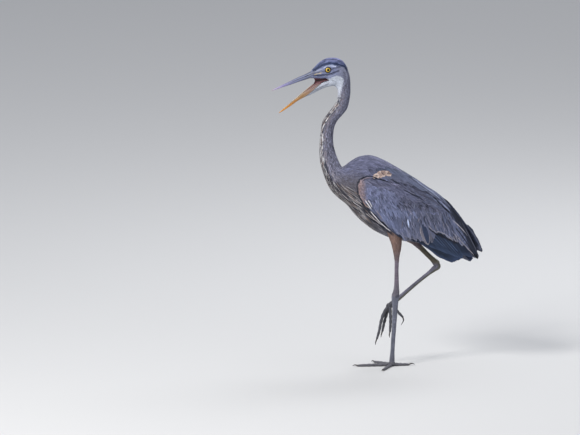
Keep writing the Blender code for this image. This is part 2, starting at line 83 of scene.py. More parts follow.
LEFT_TOES = {
    "middle": [(-6, -1, 5.0, 5.4), (-30, -6, 3.6, 4.9), (-58, -12, 3.4, 4.5), (-84, -17, 3.0, 4.0), (-97, -19, 2.8, 3.2), (-99, -19.5, 2.9, 2.2), (-108, -21.5, 4.6, 1.7), (-115, -23, 2.2, 0.5)],
    "inner": [(-4, 3, 5.0, 5.2), (-22, 19, 3.6, 4.7), (-41, 34, 3.2, 4.2), (-54, 44, 2.8, 3.2), (-55.5, 45.5, 2.9, 2.2), (-62, 51, 4.6, 1.7), (-67, 55.5, 2.2, 0.5)],
    "outer": [(-2, -5, 5.0, 5.2), (-7, -28, 3.6, 4.8), (-12, -52, 3.3, 4.4), (-17, -76, 2.9, 3.3), (-17.5, -78, 2.9, 2.2), (-19.5, -87, 4.4, 1.7), (-21, -94, 2.2, 0.5)],
    "hallux": [(5, 1, 5.0, 5.0), (24, 6, 3.6, 4.6), (46, 12, 3.0, 3.3), (48, 12.5, 3.0, 2.3), (58, 15.5, 5.4, 1.8), (67, 18.5, 2.2, 0.5)],
}
RIGHT_TOES = {
    "middle": [(-16, 27, 170, 5.2), (-28, 26, 150, 4.7), (-35, 24, 126, 4.4), (-40, 22, 100, 4.0), (-46, 21, 79, 3.2), (-46.6, 20.9, 77, 2.2), (-50, 20.4, 67, 1.7), (-51, 20, 58, 0.5)],
    "outer": [(-12, 33, 168, 5.0), (-20, 36, 147, 4.6), (-27, 39, 121, 4.2), (-32, 40.5, 98, 3.2), (-32.6, 40.6, 96, 2.2), (-35.6, 41, 85, 1.7), (-37, 41, 77, 0.5)],
    "inner": [(-8, 23, 168, 5.0), (-6, 19, 146, 4.5), (-6, 15.5, 122, 4.1), (-7, 13.5, 102, 3.2), (-7.2, 13.4, 100, 2.2), (-9, 13, 90, 1.7), (-8, 13, 82, 0.5)],
    "hallux": [(1, 31, 172, 4.8), (13, 32, 158, 4.4), (27, 33, 143, 3.4), (28.3, 33, 141.8, 2.3), (31, 33, 131, 1.8), (24, 33, 117, 0.5)],
}


# ------------------------------------------------------------------ small maths
def cr(table, s):
    """Catmull-Rom through a table of rows, at fractional indices."""
    t_ = np.asarray(table, float)
    n = len(t_)
    s = np.clip(np.asarray(s, float), 0, n - 1)
    i = np.minimum(s.astype(int), n - 2)
    t = (s - i)[..., None]
    e = np.vstack([2 * t_[0] - t_[1], t_, 2 * t_[-1] - t_[-2]])
    a, b, c, d = e[i], e[i + 1], e[i + 2], e[i + 3]
    return 0.5 * (2 * b + (c - a) * t + (2 * a - 5 * b + 4 * c - d) * t ** 2 + (3 * b - a - 3 * c + d) * t ** 3)


def smooth(t):
    t = np.clip(t, 0.0, 1.0)
    return t * t * (3 - 2 * t)


def ramp(x, a, b):
    return smooth((np.asarray(x, float) - a) / (b - a))


def unit(v):
    return v / np.maximum(np.linalg.norm(v, axis=-1, keepdims=True), 1e-9)


def mix(a, b, f):
    f = np.asarray(f, float)[..., None]
    return np.asarray(a, float) * (1 - f) + np.asarray(b, float) * f


def yaw(p, a):
    dx = p[..., 0] - NECK_AXIS_X
    ca, sa = np.cos(a), np.sin(a)
    return np.stack([NECK_AXIS_X + dx * ca - p[..., 1] * sa, dx * sa + p[..., 1] * ca, p[..., 2]], -1)


def head_space(p):
    """A point of the turned head, back in the unturned head's frame."""
    return yaw(p, -HEAD_YAW)


def value_noise(p, scale, seed=0):
    """Smooth noise from -1 to 1, from a hashed lattice."""
    q = np.asarray(p, float) / scale
    i = np.floor(q).astype(np.int64)
    f = q - i
    f = f * f * (3 - 2 * f)
    out = 0.0
    for dx in (0, 1):
        for dy in (0, 1):
            for dz in (0, 1):
                h = (i[..., 0] + dx) * 374761393 + (i[..., 1] + dy) * 668265263 + (i[..., 2] + dz) * 2147483647 + seed * 974711
                h = (h ^ (h >> 13)) * 1274126177
                h = (h ^ (h >> 16)) & 0xFFFF
                w = (f[..., 0] if dx else 1 - f[..., 0]) * (f[..., 1] if dy else 1 - f[..., 1]) * (f[..., 2] if dz else 1 - f[..., 2])
                out = out + w * (h / 32767.5 - 1.0)
    return out


def body_points(s, th, grow=0.0, table=None, head_turn=None, egg=None):
    t = BODY if table is None else table
    r = cr(t, s)
    cx, cz = (r[..., 0] + r[..., 2]) / 2, (r[..., 1] + r[..., 3]) / 2
    ux, uz = (r[..., 0] - r[..., 2]) / 2, (r[..., 1] - r[..., 3]) / 2
    h = np.hypot(ux, uz)
    k = 0.12 * smooth((s - 19) / 4.0) if egg is None else egg
    a = HEAD_YAW * (1 - smooth((s - 6) / 5.0)) if head_turn is None else head_turn
    c, sn = np.cos(th), np.sin(th)
    x = cx + ux / h * (h + grow) * c
    z = cz + uz / h * (h + grow) * c
    y = (r[..., 4] + grow) * sn * (1 - k * c)
    return yaw(np.stack([x, y, z], -1), a)


class Surf:
    """A surface on a regular grid of two parameters, u along and v (0 to 1) around or across."""

    def __init__(self, u, p, wrap=True):
        self.u, self.p, self.wrap = np.asarray(u, float), p, wrap
        self.nu, self.nv = p.shape[:2]
        self.pu = np.gradient(p, self.u, axis=0)
        if wrap:
            self.pv = (np.roll(p, -1, 1) - np.roll(p, 1, 1)) * self.nv / 2
        else:
            self.pv = np.gradient(p, 1.0 / (self.nv - 1), axis=1)
        n = unit(np.cross(self.pu, self.pv))
        centre = p.mean(1, keepdims=True)
        if wrap and (n * (p - centre)).sum() < 0:
            n = -n
        self.n = n

    def _mix(self, a, u, v):
        fu = (np.clip(u, self.u[0], self.u[-1]) - self.u[0]) / (self.u[-1] - self.u[0]) * (self.nu - 1)
        i = np.minimum(fu.astype(int), self.nu - 2)
        f = (fu - i)[..., None]
        if self.wrap:
            fv = np.mod(v, 1.0) * self.nv
            j = fv.astype(int)
            g = (fv - j)[..., None]
            j0, j1 = j % self.nv, (j + 1) % self.nv
        else:
            fv = np.clip(v, 0, 1) * (self.nv - 1)
            j0 = np.minimum(fv.astype(int), self.nv - 2)
            g = (fv - j0)[..., None]
            j1 = j0 + 1
        return (a[i, j0] * (1 - f) + a[i + 1, j0] * f) * (1 - g) + (a[i, j1] * (1 - f) + a[i + 1, j1] * f) * g

    def at(self, u, v):
        p, n, pu, pv = (self._mix(a, u, v) for a in (self.p, self.n, self.pu, self.pv))
        over = (u - np.clip(u, self.u[0], self.u[-1]))[..., None]
        p = p + pu * over
        if not self.wrap:
            p = p + pv * (v - np.clip(v, 0, 1))[..., None]
        return p, unit(n), pu, pv


def to_uv(pu, pv, d):
    a, b, c = (pu * pu).sum(-1), (pu * pv).sum(-1), (pv * pv).sum(-1)
    p, q = (d * pu).sum(-1), (d * pv).sum(-1)
    det = a * c - b * b + 1e-6
    return (c * p - b * q) / det, (a * q - b * p) / det


def scatter(surf, u0, u1, spacing, jitter=0.25, keep=None):
    """Roots in staggered rows, spaced by arc length; keep(p, u, v) says where they grow."""
    us, vs = [], []
    u, row = u0, 0
    while u < u1:
        line = np.linspace(0, 1, 121)[:-1] if surf.wrap else np.linspace(0, 1, 121)
        p, _, pu, pv = surf.at(np.full_like(line, u), line)
        sp = spacing(u) if callable(spacing) else spacing
        along = np.linalg.norm(pu, axis=-1)
        ring = np.concatenate([[0], np.cumsum(np.linalg.norm(pv, axis=-1))]) / len(line)
        n = max(3, int(round(ring[-1] / sp)))
        pos = (np.arange(n) + 0.5 * (row % 2) + RNG.uniform(-jitter, jitter, n)) / n * ring[-1]
        edges = np.linspace(0, 1, len(line) + 1)
        v = np.interp(np.mod(pos, ring[-1]), ring, edges)
        top = np.percentile(along, 92)
        a = np.interp(v, np.linspace(0, 1, len(line)), along)
        ok = RNG.uniform(0, 1, n) < np.clip(a / top, 0.15, 1)
        us.append((u + RNG.uniform(-jitter, jitter, n) * sp / top)[ok])
        vs.append(v[ok])
        u += sp * 0.87 / top
        row += 1
    u, v = np.concatenate(us), np.concatenate(vs)
    if keep is not None:
        m = keep(surf.at(u, v)[0], u, v)
        u, v = u[m], v[m]
    return u, v


def profile(shape, t):
    t = np.asarray(t, float)
    if shape == "round":
        f = np.minimum(1, (np.maximum(t, 1e-6) / 0.34) ** 0.6) * np.sqrt(np.clip(1 - (np.maximum(t - 0.52, 0) / 0.49) ** 2.2, 0, 1))
    elif shape == "ovate":
        f = np.sin(np.pi * np.clip(t, 0.01, 1) ** 0.8) ** 0.75
    elif shape == "lance":
        f = np.where(t < 0.32, (np.maximum(t, 0.003) / 0.32) ** 0.5, np.clip((1 - t) / 0.68, 0, 1) ** 0.75)
    else:  # strap: a flight feather
        f = np.minimum(1, (np.maximum(t, 0.01) / 0.12) ** 0.5) * np.sqrt(np.clip(1 - (np.maximum(t - 0.80, 0) / 0.205) ** 2.0, 0, 1))
    return np.maximum(f, 0.07)


TS = {3: [0, 0.4, 0.8, 1], 4: [0, 0.3, 0.6, 0.86, 1], 5: [0, 0.25, 0.5, 0.74, 0.91, 1], 6: [0, 0.2, 0.42, 0.62, 0.8, 0.93, 1],
      7: [0, 0.17, 0.35, 0.52, 0.68, 0.82, 0.93, 1], 8: [0, 0.14, 0.29, 0.44, 0.58, 0.71, 0.83, 0.93, 1],
      10: [0, 0.1, 0.22, 0.34, 0.46, 0.58, 0.69, 0.79, 0.88, 0.95, 1]}


def cross(cols):
    """Places across a vane, from -1 to 1."""
    m = np.linspace(-1, 1, cols)
    return m if cols < 7 else np.sign(m) * np.abs(m) ** 0.5


def col(x, n):
    return np.broadcast_to(np.asarray(x, float), (n,)).copy()


def grow(surf, u, v, length, width, steps=4, cols=3, shape="ovate", angle=0.0, base=-2.0, rise=2.0, camber=0.22,
         bend=0.0, tilt=0.0, sag=0.0, curve=1.0, ragged=0.0, pull=None, squeeze=None):
    """Vanes rooted at (u, v) that follow a surface; returns their points, (count, steps+1, cols, 3)."""
    n = len(u)
    length, width, angle, base, bend, tilt, rise = (col(x, n) for x in (length, width, angle, base, bend, tilt, rise))
    u, v = u.astype(float).copy(), v.astype(float).copy()
    p, nn, pu, pv = surf.at(u, v)
    t = unit(pu)
    d = unit(t * np.cos(angle)[:, None] + np.cross(nn, t) * np.sin(angle)[:, None])
    ts = np.array(TS[steps])
    ms = cross(cols)
    out = np.zeros((n, steps + 1, cols, 3))
    rag = RNG.uniform(-1, 1, (n, steps + 1, cols)) * ragged
    last = 0.0
    for k, tk in enumerate(ts):
        if k:
            du, dv = to_uv(pu, pv, d * (length * (tk - last))[:, None])
            u += du
            v += dv
            p, nn, pu, pv = surf.at(u, v)
            if pull is not None:
                d = d + np.asarray(pull) * (tk - last)
            d = unit(d - nn * (d * nn).sum(-1, keepdims=True))
            b = bend * (tk - last)
            d = unit(d * np.cos(b)[:, None] + np.cross(nn, d) * np.sin(b)[:, None])
            last = tk
        c = np.cross(nn, d)
        hw = width * profile(shape, tk)
        for j, m in enumerate(ms):
            off = c * (hw * m)[:, None] + d * (rag[:, k, j] * length * (tk ** 2))[:, None]
            du, dv = to_uv(pu, pv, off)
            q, nq, _, _ = surf.at(u + du, v + dv)
            h = base + rise * tk ** curve + tilt * m - sag * tk * tk
            if squeeze is not None:
                h = np.where(h < 0, h * squeeze(q), h)
            h = h + camber * hw * (1 - m * m)
            out[:, k, j] = q + nq * h[:, None]
    return out


# ------------------------------------------------------------------ meshes
def place(obj, nodes=()):
    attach(obj, "root")
    if nodes:
        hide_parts(*nodes)
    return obj


def build_mesh(name, verts, quads, polys=(), sharp=70.0):
    """verts in mm; quads (n, 4); polys a list of arrays of equal-length rows."""
    mesh = bpy.data.meshes.new(name)
    verts = np.asarray(verts, np.float32).reshape(-1, 3) * MM
    loops = [np.asarray(quads, np.int32).reshape(-1)]
    totals = [np.full(len(quads), 4, np.int32)]
    for group in polys:
        group = np.asarray(group, np.int32)
        if len(group):
            loops.append(group.reshape(-1))
            totals.append(np.full(len(group), group.shape[1], np.int32))
    loops, totals = np.concatenate(loops), np.concatenate(totals)
    starts = np.concatenate([[0], np.cumsum(totals)[:-1]]).astype(np.int32)
    mesh.vertices.add(len(verts))
    mesh.vertices.foreach_set("co", verts.reshape(-1))
    mesh.loops.add(len(loops))
    mesh.loops.foreach_set("vertex_index", loops)
    mesh.polygons.add(len(totals))
    mesh.polygons.foreach_set("loop_start", starts)
    mesh.polygons.foreach_set("loop_total", totals)
    mesh.polygons.foreach_set("use_smooth", np.ones(len(totals), bool))
    mesh.update(calc_edges=True)
    if sharp:
        mesh.set_sharp_from_angle(angle=math.radians(sharp))
    return mesh, loops


def set_colour(mesh, rgb, name="Col"):
    rgb = np.asarray(rgb, np.float32).reshape(-1, 3)
    layer = mesh.color_attributes.new(name, "FLOAT_COLOR", "POINT")
    layer.data.foreach_set("color", np.concatenate([rgb, np.ones((len(rgb), 1), np.float32)], 1).reshape(-1))


def set_vector(mesh, vec, name):
    layer = mesh.attributes.new(name, "FLOAT_VECTOR", "POINT")
    layer.data.foreach_set("vector", np.asarray(vec, np.float32).reshape(-1))


def set_uv(mesh, uv_by_vertex, loops):
    layer = mesh.uv_layers.new(name="OFBake")
    layer.data.foreach_set("uv", np.asarray(uv_by_vertex, np.float32).reshape(-1, 2)[loops].reshape(-1))


def link(name, mesh, mat):
    obj = bpy.data.objects.new(name, mesh)
    bpy.context.scene.collection.objects.link(obj)
    mesh.materials.append(mat)
    return obj


class Coat:
    """Blocks of vanes that become one piece."""

    def __init__(self):
        self.v, self.q, self.caps, self.c, self.f, self.uv, self.count = [], [], {}, [], [], [], 0

    def add(self, pts, rgb, shape_len, shape_wid, root_uv, patch=0.003):
        n, k1, m = pts.shape[:3]
        idx = self.count + np.arange(n * k1 * m).reshape(n, k1, m)
        a, b = idx[:, :-1, :-1], idx[:, 1:, :-1]
        c, d = idx[:, 1:, 1:], idx[:, :-1, 1:]
        self.q.append(np.stack([a, b, c, d], -1).reshape(-1, 4))
        self.q.append(np.stack([idx[:, :-1, 0], idx[:, :-1, -1], idx[:, 1:, -1], idx[:, 1:, 0]], -1).reshape(-1, 4))
        self.caps.setdefault(m, []).append(idx[:, 0, :])
        self.caps[m].append(idx[:, -1, ::-1])
        self.v.append(pts.reshape(-1, 3))
        self.c.append(np.broadcast_to(rgb, pts.shape).reshape(-1, 3))
        t = np.linspace(0, 1, k1)[None, :, None]
        w = np.linspace(-1, 1, m)[None, None, :]
        seed = RNG.uniform(0, 100, (n, 1, 1))
        ln, wd = col(shape_len, n)[:, None, None], col(shape_wid, n)[:, None, None]
        self.f.append(np.stack(np.broadcast_arrays(t * ln, w * wd, seed), -1).reshape(-1, 3))
        patch = col(patch, n)[:, None, None]
        uu = np.clip(root_uv[0], 0.004, 0.996)[:, None, None] + (w * 0.5) * patch
        vv = np.clip(root_uv[1], 0.004, 0.996)[:, None, None] + (t - 0.5) * patch
        self.uv.append(np.stack(np.broadcast_arrays(uu, vv), -1).reshape(-1, 2))
        self.count += n * k1 * m

    def build(self, name, mat, slot, nodes=()):
        caps = [np.concatenate(g) for g in self.caps.values()]
        mesh, loops = build_mesh(name, np.concatenate(self.v), np.concatenate(self.q), caps)
        set_colour(mesh, np.concatenate(self.c))
        set_vector(mesh, np.concatenate(self.f), "vane")
        set_uv(mesh, np.concatenate(self.uv), loops)
        obj = link(name, mesh, mat)
        tris = int(sum((p - 2) * 1 for p in [])) + sum(len(q) for q in self.q) * 2 + sum(len(c) * (c.shape[1] - 2) for c in caps)
        assert tris < 200000, name
        return place(obj, nodes)


# ------------------------------------------------------------------ materials
def nodes_of(name):
    mat = bpy.data.materials.new(name)
    mat.use_nodes = True
    nt = mat.node_tree
    return mat, nt, nt.nodes["Principled BSDF"]


def feather_material(name, rough=0.68, sheen=0.06, barb=1.0, bump=0.35, spec=0.22, low=0.62, high=1.32):
    mat, nt, bsdf = nodes_of(name)
    new, lk = nt.nodes.new, nt.links.new
    colour = new("ShaderNodeAttribute"); colour.attribute_name = "Col"
    vane = new("ShaderNodeAttribute"); vane.attribute_name = "vane"
    sep = new("ShaderNodeSeparateXYZ"); lk(vane.outputs["Vector"], sep.inputs[0])
    ab = new("ShaderNodeMath"); ab.operation = "ABSOLUTE"; lk(sep.outputs["Y"], ab.inputs[0])
    k = new("ShaderNodeMath"); k.operation = "MULTIPLY"; lk(ab.outputs[0], k.inputs[0]); k.inputs[1].default_value = 1.15
    c = new("ShaderNodeMath"); c.operation = "SUBTRACT"; lk(sep.outputs["X"], c.inputs[0]); lk(k.outputs[0], c.inputs[1])
    comb = new("ShaderNodeCombineXYZ")
    sc = new("ShaderNodeMath"); sc.operation = "MULTIPLY"; lk(c.outputs[0], sc.inputs[0]); sc.inputs[1].default_value = barb
    fy = new("ShaderNodeMath"); fy.operation = "MULTIPLY"; lk(sep.outputs["Y"], fy.inputs[0]); fy.inputs[1].default_value = 0.12
    lk(sc.outputs[0], comb.inputs[0]); lk(fy.outputs[0], comb.inputs[1]); lk(sep.outputs["Z"], comb.inputs[2])
    noise = new("ShaderNodeTexNoise"); noise.inputs["Scale"].default_value = 1.6; noise.inputs["Detail"].default_value = 3
    lk(comb.outputs[0], noise.inputs["Vector"])
    rmp = new("ShaderNodeMapRange")
    rmp.inputs["From Min"].default_value = 0.3; rmp.inputs["From Max"].default_value = 0.7
    rmp.inputs["To Min"].default_value = low; rmp.inputs["To Max"].default_value = high
    lk(noise.outputs["Fac"], rmp.inputs["Value"])
    mul = new("ShaderNodeVectorMath"); mul.operation = "SCALE"
    lk(colour.outputs["Color"], mul.inputs[0]); lk(rmp.outputs[0], mul.inputs["Scale"])
    lk(mul.outputs[0], bsdf.inputs["Base Color"])
    bp = new("ShaderNodeBump"); bp.inputs["Strength"].default_value = bump; bp.inputs["Distance"].default_value = 0.0006
    lk(noise.outputs["Fac"], bp.inputs["Height"]); lk(bp.outputs[0], bsdf.inputs["Normal"])
    rr = new("ShaderNodeMapRange"); rr.inputs["To Min"].default_value = rough + 0.08; rr.inputs["To Max"].default_value = rough - 0.08
    lk(noise.outputs["Fac"], rr.inputs["Value"]); lk(rr.outputs[0], bsdf.inputs["Roughness"])
    bsdf.inputs["Specular IOR Level"].default_value = spec
    bsdf.inputs["Sheen Weight"].default_value = sheen
    bsdf.inputs["Sheen Roughness"].default_value = 0.4
    return mat


def painted_material(name, rough, bump, scale, spec=0.5, coat=0.0, variation=0.18, sheen=0.0):
    """A material that takes its markings from the mesh's colours and its grain from noise."""
    mat, nt, bsdf = nodes_of(name)
    new, lk = nt.nodes.new, nt.links.new
    colour = new("ShaderNodeAttribute"); colour.attribute_name = "Col"
    geo = new("ShaderNodeTexCoord")
    noise = new("ShaderNodeTexNoise"); noise.inputs["Scale"].default_value = scale; noise.inputs["Detail"].default_value = 5
    lk(geo.outputs["Object"], noise.inputs["Vector"])
    rmp = new("ShaderNodeMapRange")
    rmp.inputs["From Min"].default_value = 0.3; rmp.inputs["From Max"].default_value = 0.7
    rmp.inputs["To Min"].default_value = 1 - variation; rmp.inputs["To Max"].default_value = 1 + variation
    lk(noise.outputs["Fac"], rmp.inputs["Value"])
    mul = new("ShaderNodeVectorMath"); mul.operation = "SCALE"
    lk(colour.outputs["Color"], mul.inputs[0]); lk(rmp.outputs[0], mul.inputs["Scale"])
    lk(mul.outputs[0], bsdf.inputs["Base Color"])
    bp = new("ShaderNodeBump"); bp.inputs["Strength"].default_value = bump; bp.inputs["Distance"].default_value = 0.0005
    lk(noise.outputs["Fac"], bp.inputs["Height"]); lk(bp.outputs[0], bsdf.inputs["Normal"])
    rr = new("ShaderNodeMapRange"); rr.inputs["To Min"].default_value = rough + 0.1; rr.inputs["To Max"].default_value = rough - 0.1
    lk(noise.outputs["Fac"], rr.inputs["Value"]); lk(rr.outputs[0], bsdf.inputs["Roughness"])
    bsdf.inputs["Specular IOR Level"].default_value = spec
    bsdf.inputs["Coat Weight"].default_value = coat
    bsdf.inputs["Coat Roughness"].default_value = 0.05
    bsdf.inputs["Sheen Weight"].default_value = sheen
    return mat


# ------------------------------------------------------------------ surfaces
S_GRID = np.linspace(0, 32, 417)
V_GRID = np.arange(96) / 96.0
SS, VV = np.meshgrid(S_GRID, V_GRID, indexing="ij")
BODY_S = Surf(S_GRID, body_points(SS, VV * 2 * math.pi))
JAW_U = np.linspace(0, 9, 91)
JU, JV = np.meshgrid(JAW_U, np.arange(48) / 48.0, indexing="ij")
JAW_S = Surf(JAW_U, body_points(JU, JV * 2 * math.pi, table=LOWER_JAW, head_turn=HEAD_YAW, egg=0.0))
TAIL_U = np.linspace(0, 3, 31)
TU, TV = np.meshgrid(TAIL_U, np.arange(48) / 48.0, indexing="ij")
TAIL_S = Surf(TAIL_U, body_points(TU, TV * 2 * math.pi, table=TAIL, head_turn=0.0, egg=0.0))


def node_tree(*names):
    """One BVH of several CAD nodes, in mm."""
    verts, faces, base = [], [], 0
    for name in names:
        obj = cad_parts[name]
        me = obj.data
        co = np.empty(len(me.vertices) * 3)
        me.vertices.foreach_get("co", co)
        co = co.reshape(-1, 3)
        m = np.array(obj.matrix_world)
        co = (co @ m[:3, :3].T + m[:3, 3]) / MM
        verts += [Vector(c) for c in co]
        faces += [[base + i for i in p.vertices] for p in me.polygons]
        base += len(co)
    return BVHTree.FromPolygons(verts, faces)


def blur(a, n, wrap1=False):
    for _ in range(n):
        up = np.concatenate([a[:1], a[:-1]]); dn = np.concatenate([a[1:], a[-1:]])
        a = (up + 2 * a + dn) / 4
        if wrap1:
            a = (np.roll(a, 1, 1) + 2 * a + np.roll(a, -1, 1)) / 4
        else:
            lf = np.concatenate([a[:, :1], a[:, :-1]], 1); rt = np.concatenate([a[:, 1:], a[:, -1:]], 1)
            a = (lf + 2 * a + rt) / 4
    return a


def envelope():
    """The trunk and both folded wings wrapped in one surface, for the scapulars that bridge them."""
    tree = node_tree("trunk", "wing_left", "wing_right")
    us = np.linspace(17, 32, 181)
    vs = np.arange(96) / 96.0
    uu, vv = np.meshgrid(us, vs, indexing="ij")
    p = body_points(uu, vv * 2 * math.pi)
    r = cr(BODY, us)
    c = np.stack([(r[:, 0] + r[:, 2]) / 2, np.zeros(len(us)), (r[:, 1] + r[:, 3]) / 2], -1)[:, None, :]
    d = p - c
    rad = np.linalg.norm(d, axis=-1)
    d = unit(d)
    k = np.ones_like(rad)
    for i in range(len(us)):
        if us[i] < 21.5:
            continue
        for j in range(96):
            o = c[i, 0] + d[i, j] * (rad[i, j] + 60)
            hit = tree.ray_cast(Vector(o), Vector(-d[i, j]), 62 + rad[i, j] * 0.2)
            if hit[0] is not None:
                k[i, j] = min(1.22, max(1.0, np.linalg.norm(np.array(hit[0]) - c[i, 0]) / rad[i, j]))
    grown = np.maximum.reduce([k, np.roll(k, 1, 1), np.roll(k, -1, 1)])
    k = np.maximum(blur(grown, 5, True), 1.0)
    return Surf(us, c + d * (rad * k)[..., None])


ENV_S = envelope()

WX = np.arange(-112, 284, 3.0)
WZ = np.arange(300, 606, 3.0)


class WingSurf(Surf):
    """A folded wing's outer surface as a height field over x and z; v runs up from z=300."""

    def __init__(self, name, sign, inner=False):
        tree = node_tree(name)
        y = np.full((len(WX), len(WZ)), np.nan)
        t = np.full_like(y, np.nan)
        for i, x in enumerate(WX):
            for j, z in enumerate(WZ):
                hit = tree.ray_cast(Vector((x, sign * 200.0, z)), Vector((0, -sign, 0)), 210)
                if hit[0] is not None:
                    back = tree.ray_cast(Vector((x, 0.0, z)), Vector((0, sign, 0)), 210)
                    y[i, j] = hit[0][1] * sign
                    if back[0] is not None:
                        t[i, j] = y[i, j] - back[0][1] * sign
        self.inside = ~np.isnan(y)
        for a in (y, t):
            for _ in range(240):
                nan = np.isnan(a)
                if not nan.any():
                    break
                pad = np.pad(a, 1, constant_values=np.nan)
                near = np.stack([pad[:-2, 1:-1], pad[2:, 1:-1], pad[1:-1, :-2], pad[1:-1, 2:]])
                cnt = (~np.isnan(near)).sum(0)
                mean = np.nansum(near, 0) / np.maximum(cnt, 1)
                a[nan & (cnt > 0)] = mean[nan & (cnt > 0)]
        y, t = blur(y, 4), blur(t, 4)
        xx, zz = np.meshgrid(WX, WZ, indexing="ij")
        self.sign = sign
        super().__init__(WX, np.stack([xx, sign * (y - t if inner else y), zz], -1), wrap=False)
        self.n = self.n * np.sign((self.n[..., 1] * sign).mean()) * (-1 if inner else 1)
        self.thick = np.stack([t, t, t], -1)

    def uv(self, xz):
        return xz[..., 0], (xz[..., 1] - WZ[0]) / (WZ[-1] - WZ[0])

    def thickness(self, xz):
        u, v = self.uv(xz)
        return self._mix(self.thick, u, v)[..., 0]

    def clear(self, xz):
        """Whether a place is inside the wing's outline."""
        i = np.clip(np.round((xz[..., 0] - WX[0]) / 3.0).astype(int), 0, len(WX) - 1)
        j = np.clip(np.round((xz[..., 1] - WZ[0]) / 3.0).astype(int), 0, len(WZ) - 1)
        return self.inside[i, j]


WING_L = WingSurf("wing_left", -1.0)
WING_R = WingSurf("wing_right", 1.0)
WING_L_IN = WingSurf("wing_left", -1.0, inner=True)
WING_R_IN = WingSurf("wing_right", 1.0, inner=True)


def far(xz):
    """A place of the near wing's layout, on the far wing: carried a little higher, its upper edge drawn in."""
    x, z = xz[..., 0] + 60, xz[..., 1] - 540
    c, s = math.cos(FAR_WING_LIFT), math.sin(FAR_WING_LIFT)
    x, z = -60 + x * c - z * s, 540 + x * s + z * c
    amount = np.interp(x, [132, 143, 155, 168, 185, 202, 212, 222, 236], [0, 2, 8, 16, 25, 29, 22, 11, 0])
    top = np.interp(x, [143, 168, 185, 202.5, 217, 232], [508, 497, 484, 463, 438, 413])
    return np.stack([x, z - amount * ramp(z, top - 125, top - 5)], -1)


# ------------------------------------------------------------------ markings (linear colour by place)
CROWN = (0.030, 0.041, 0.092)
FACE = (0.235, 0.262, 0.420)
WHITE = (0.560, 0.600, 0.690)
NAPE = (0.146, 0.153, 0.219)
NECK = (0.155, 0.155, 0.215)
MANTLE = (0.109, 0.115, 0.190)
BACK = (0.070, 0.083, 0.134)
BREAST = (0.089, 0.084, 0.105)
BELLY = (0.100, 0.096, 0.112)
NAVY = (0.017, 0.030, 0.064)
RUFOUS = (0.252, 0.190, 0.178)
GAPE = (0.115, 0.022, 0.026)


def line_side(x, z, a, b):
    """Signed distance above the line from a to b (positive above for a line drawn left to right)."""
    dx, dz = b[0] - a[0], b[1] - a[1]
    return ((z - a[1]) * dx - (x - a[0]) * dz) / math.hypot(dx, dz)


def stroke(x, z, pts, half, soft):
    """How far a place is on a soft stroke drawn through points, from 0 to 1."""
    pts = np.asarray(pts, float)
    best = np.full(np.shape(x), 1e9)
    for a, b in zip(pts[:-1], pts[1:]):
        d = b - a
        t = np.clip(((x - a[0]) * d[0] + (z - a[1]) * d[1]) / (d @ d), 0, 1)
        best = np.minimum(best, np.hypot(x - a[0] - t * d[0], z - a[1] - t * d[1]))
    return 1 - ramp(best, half - soft, half + soft)


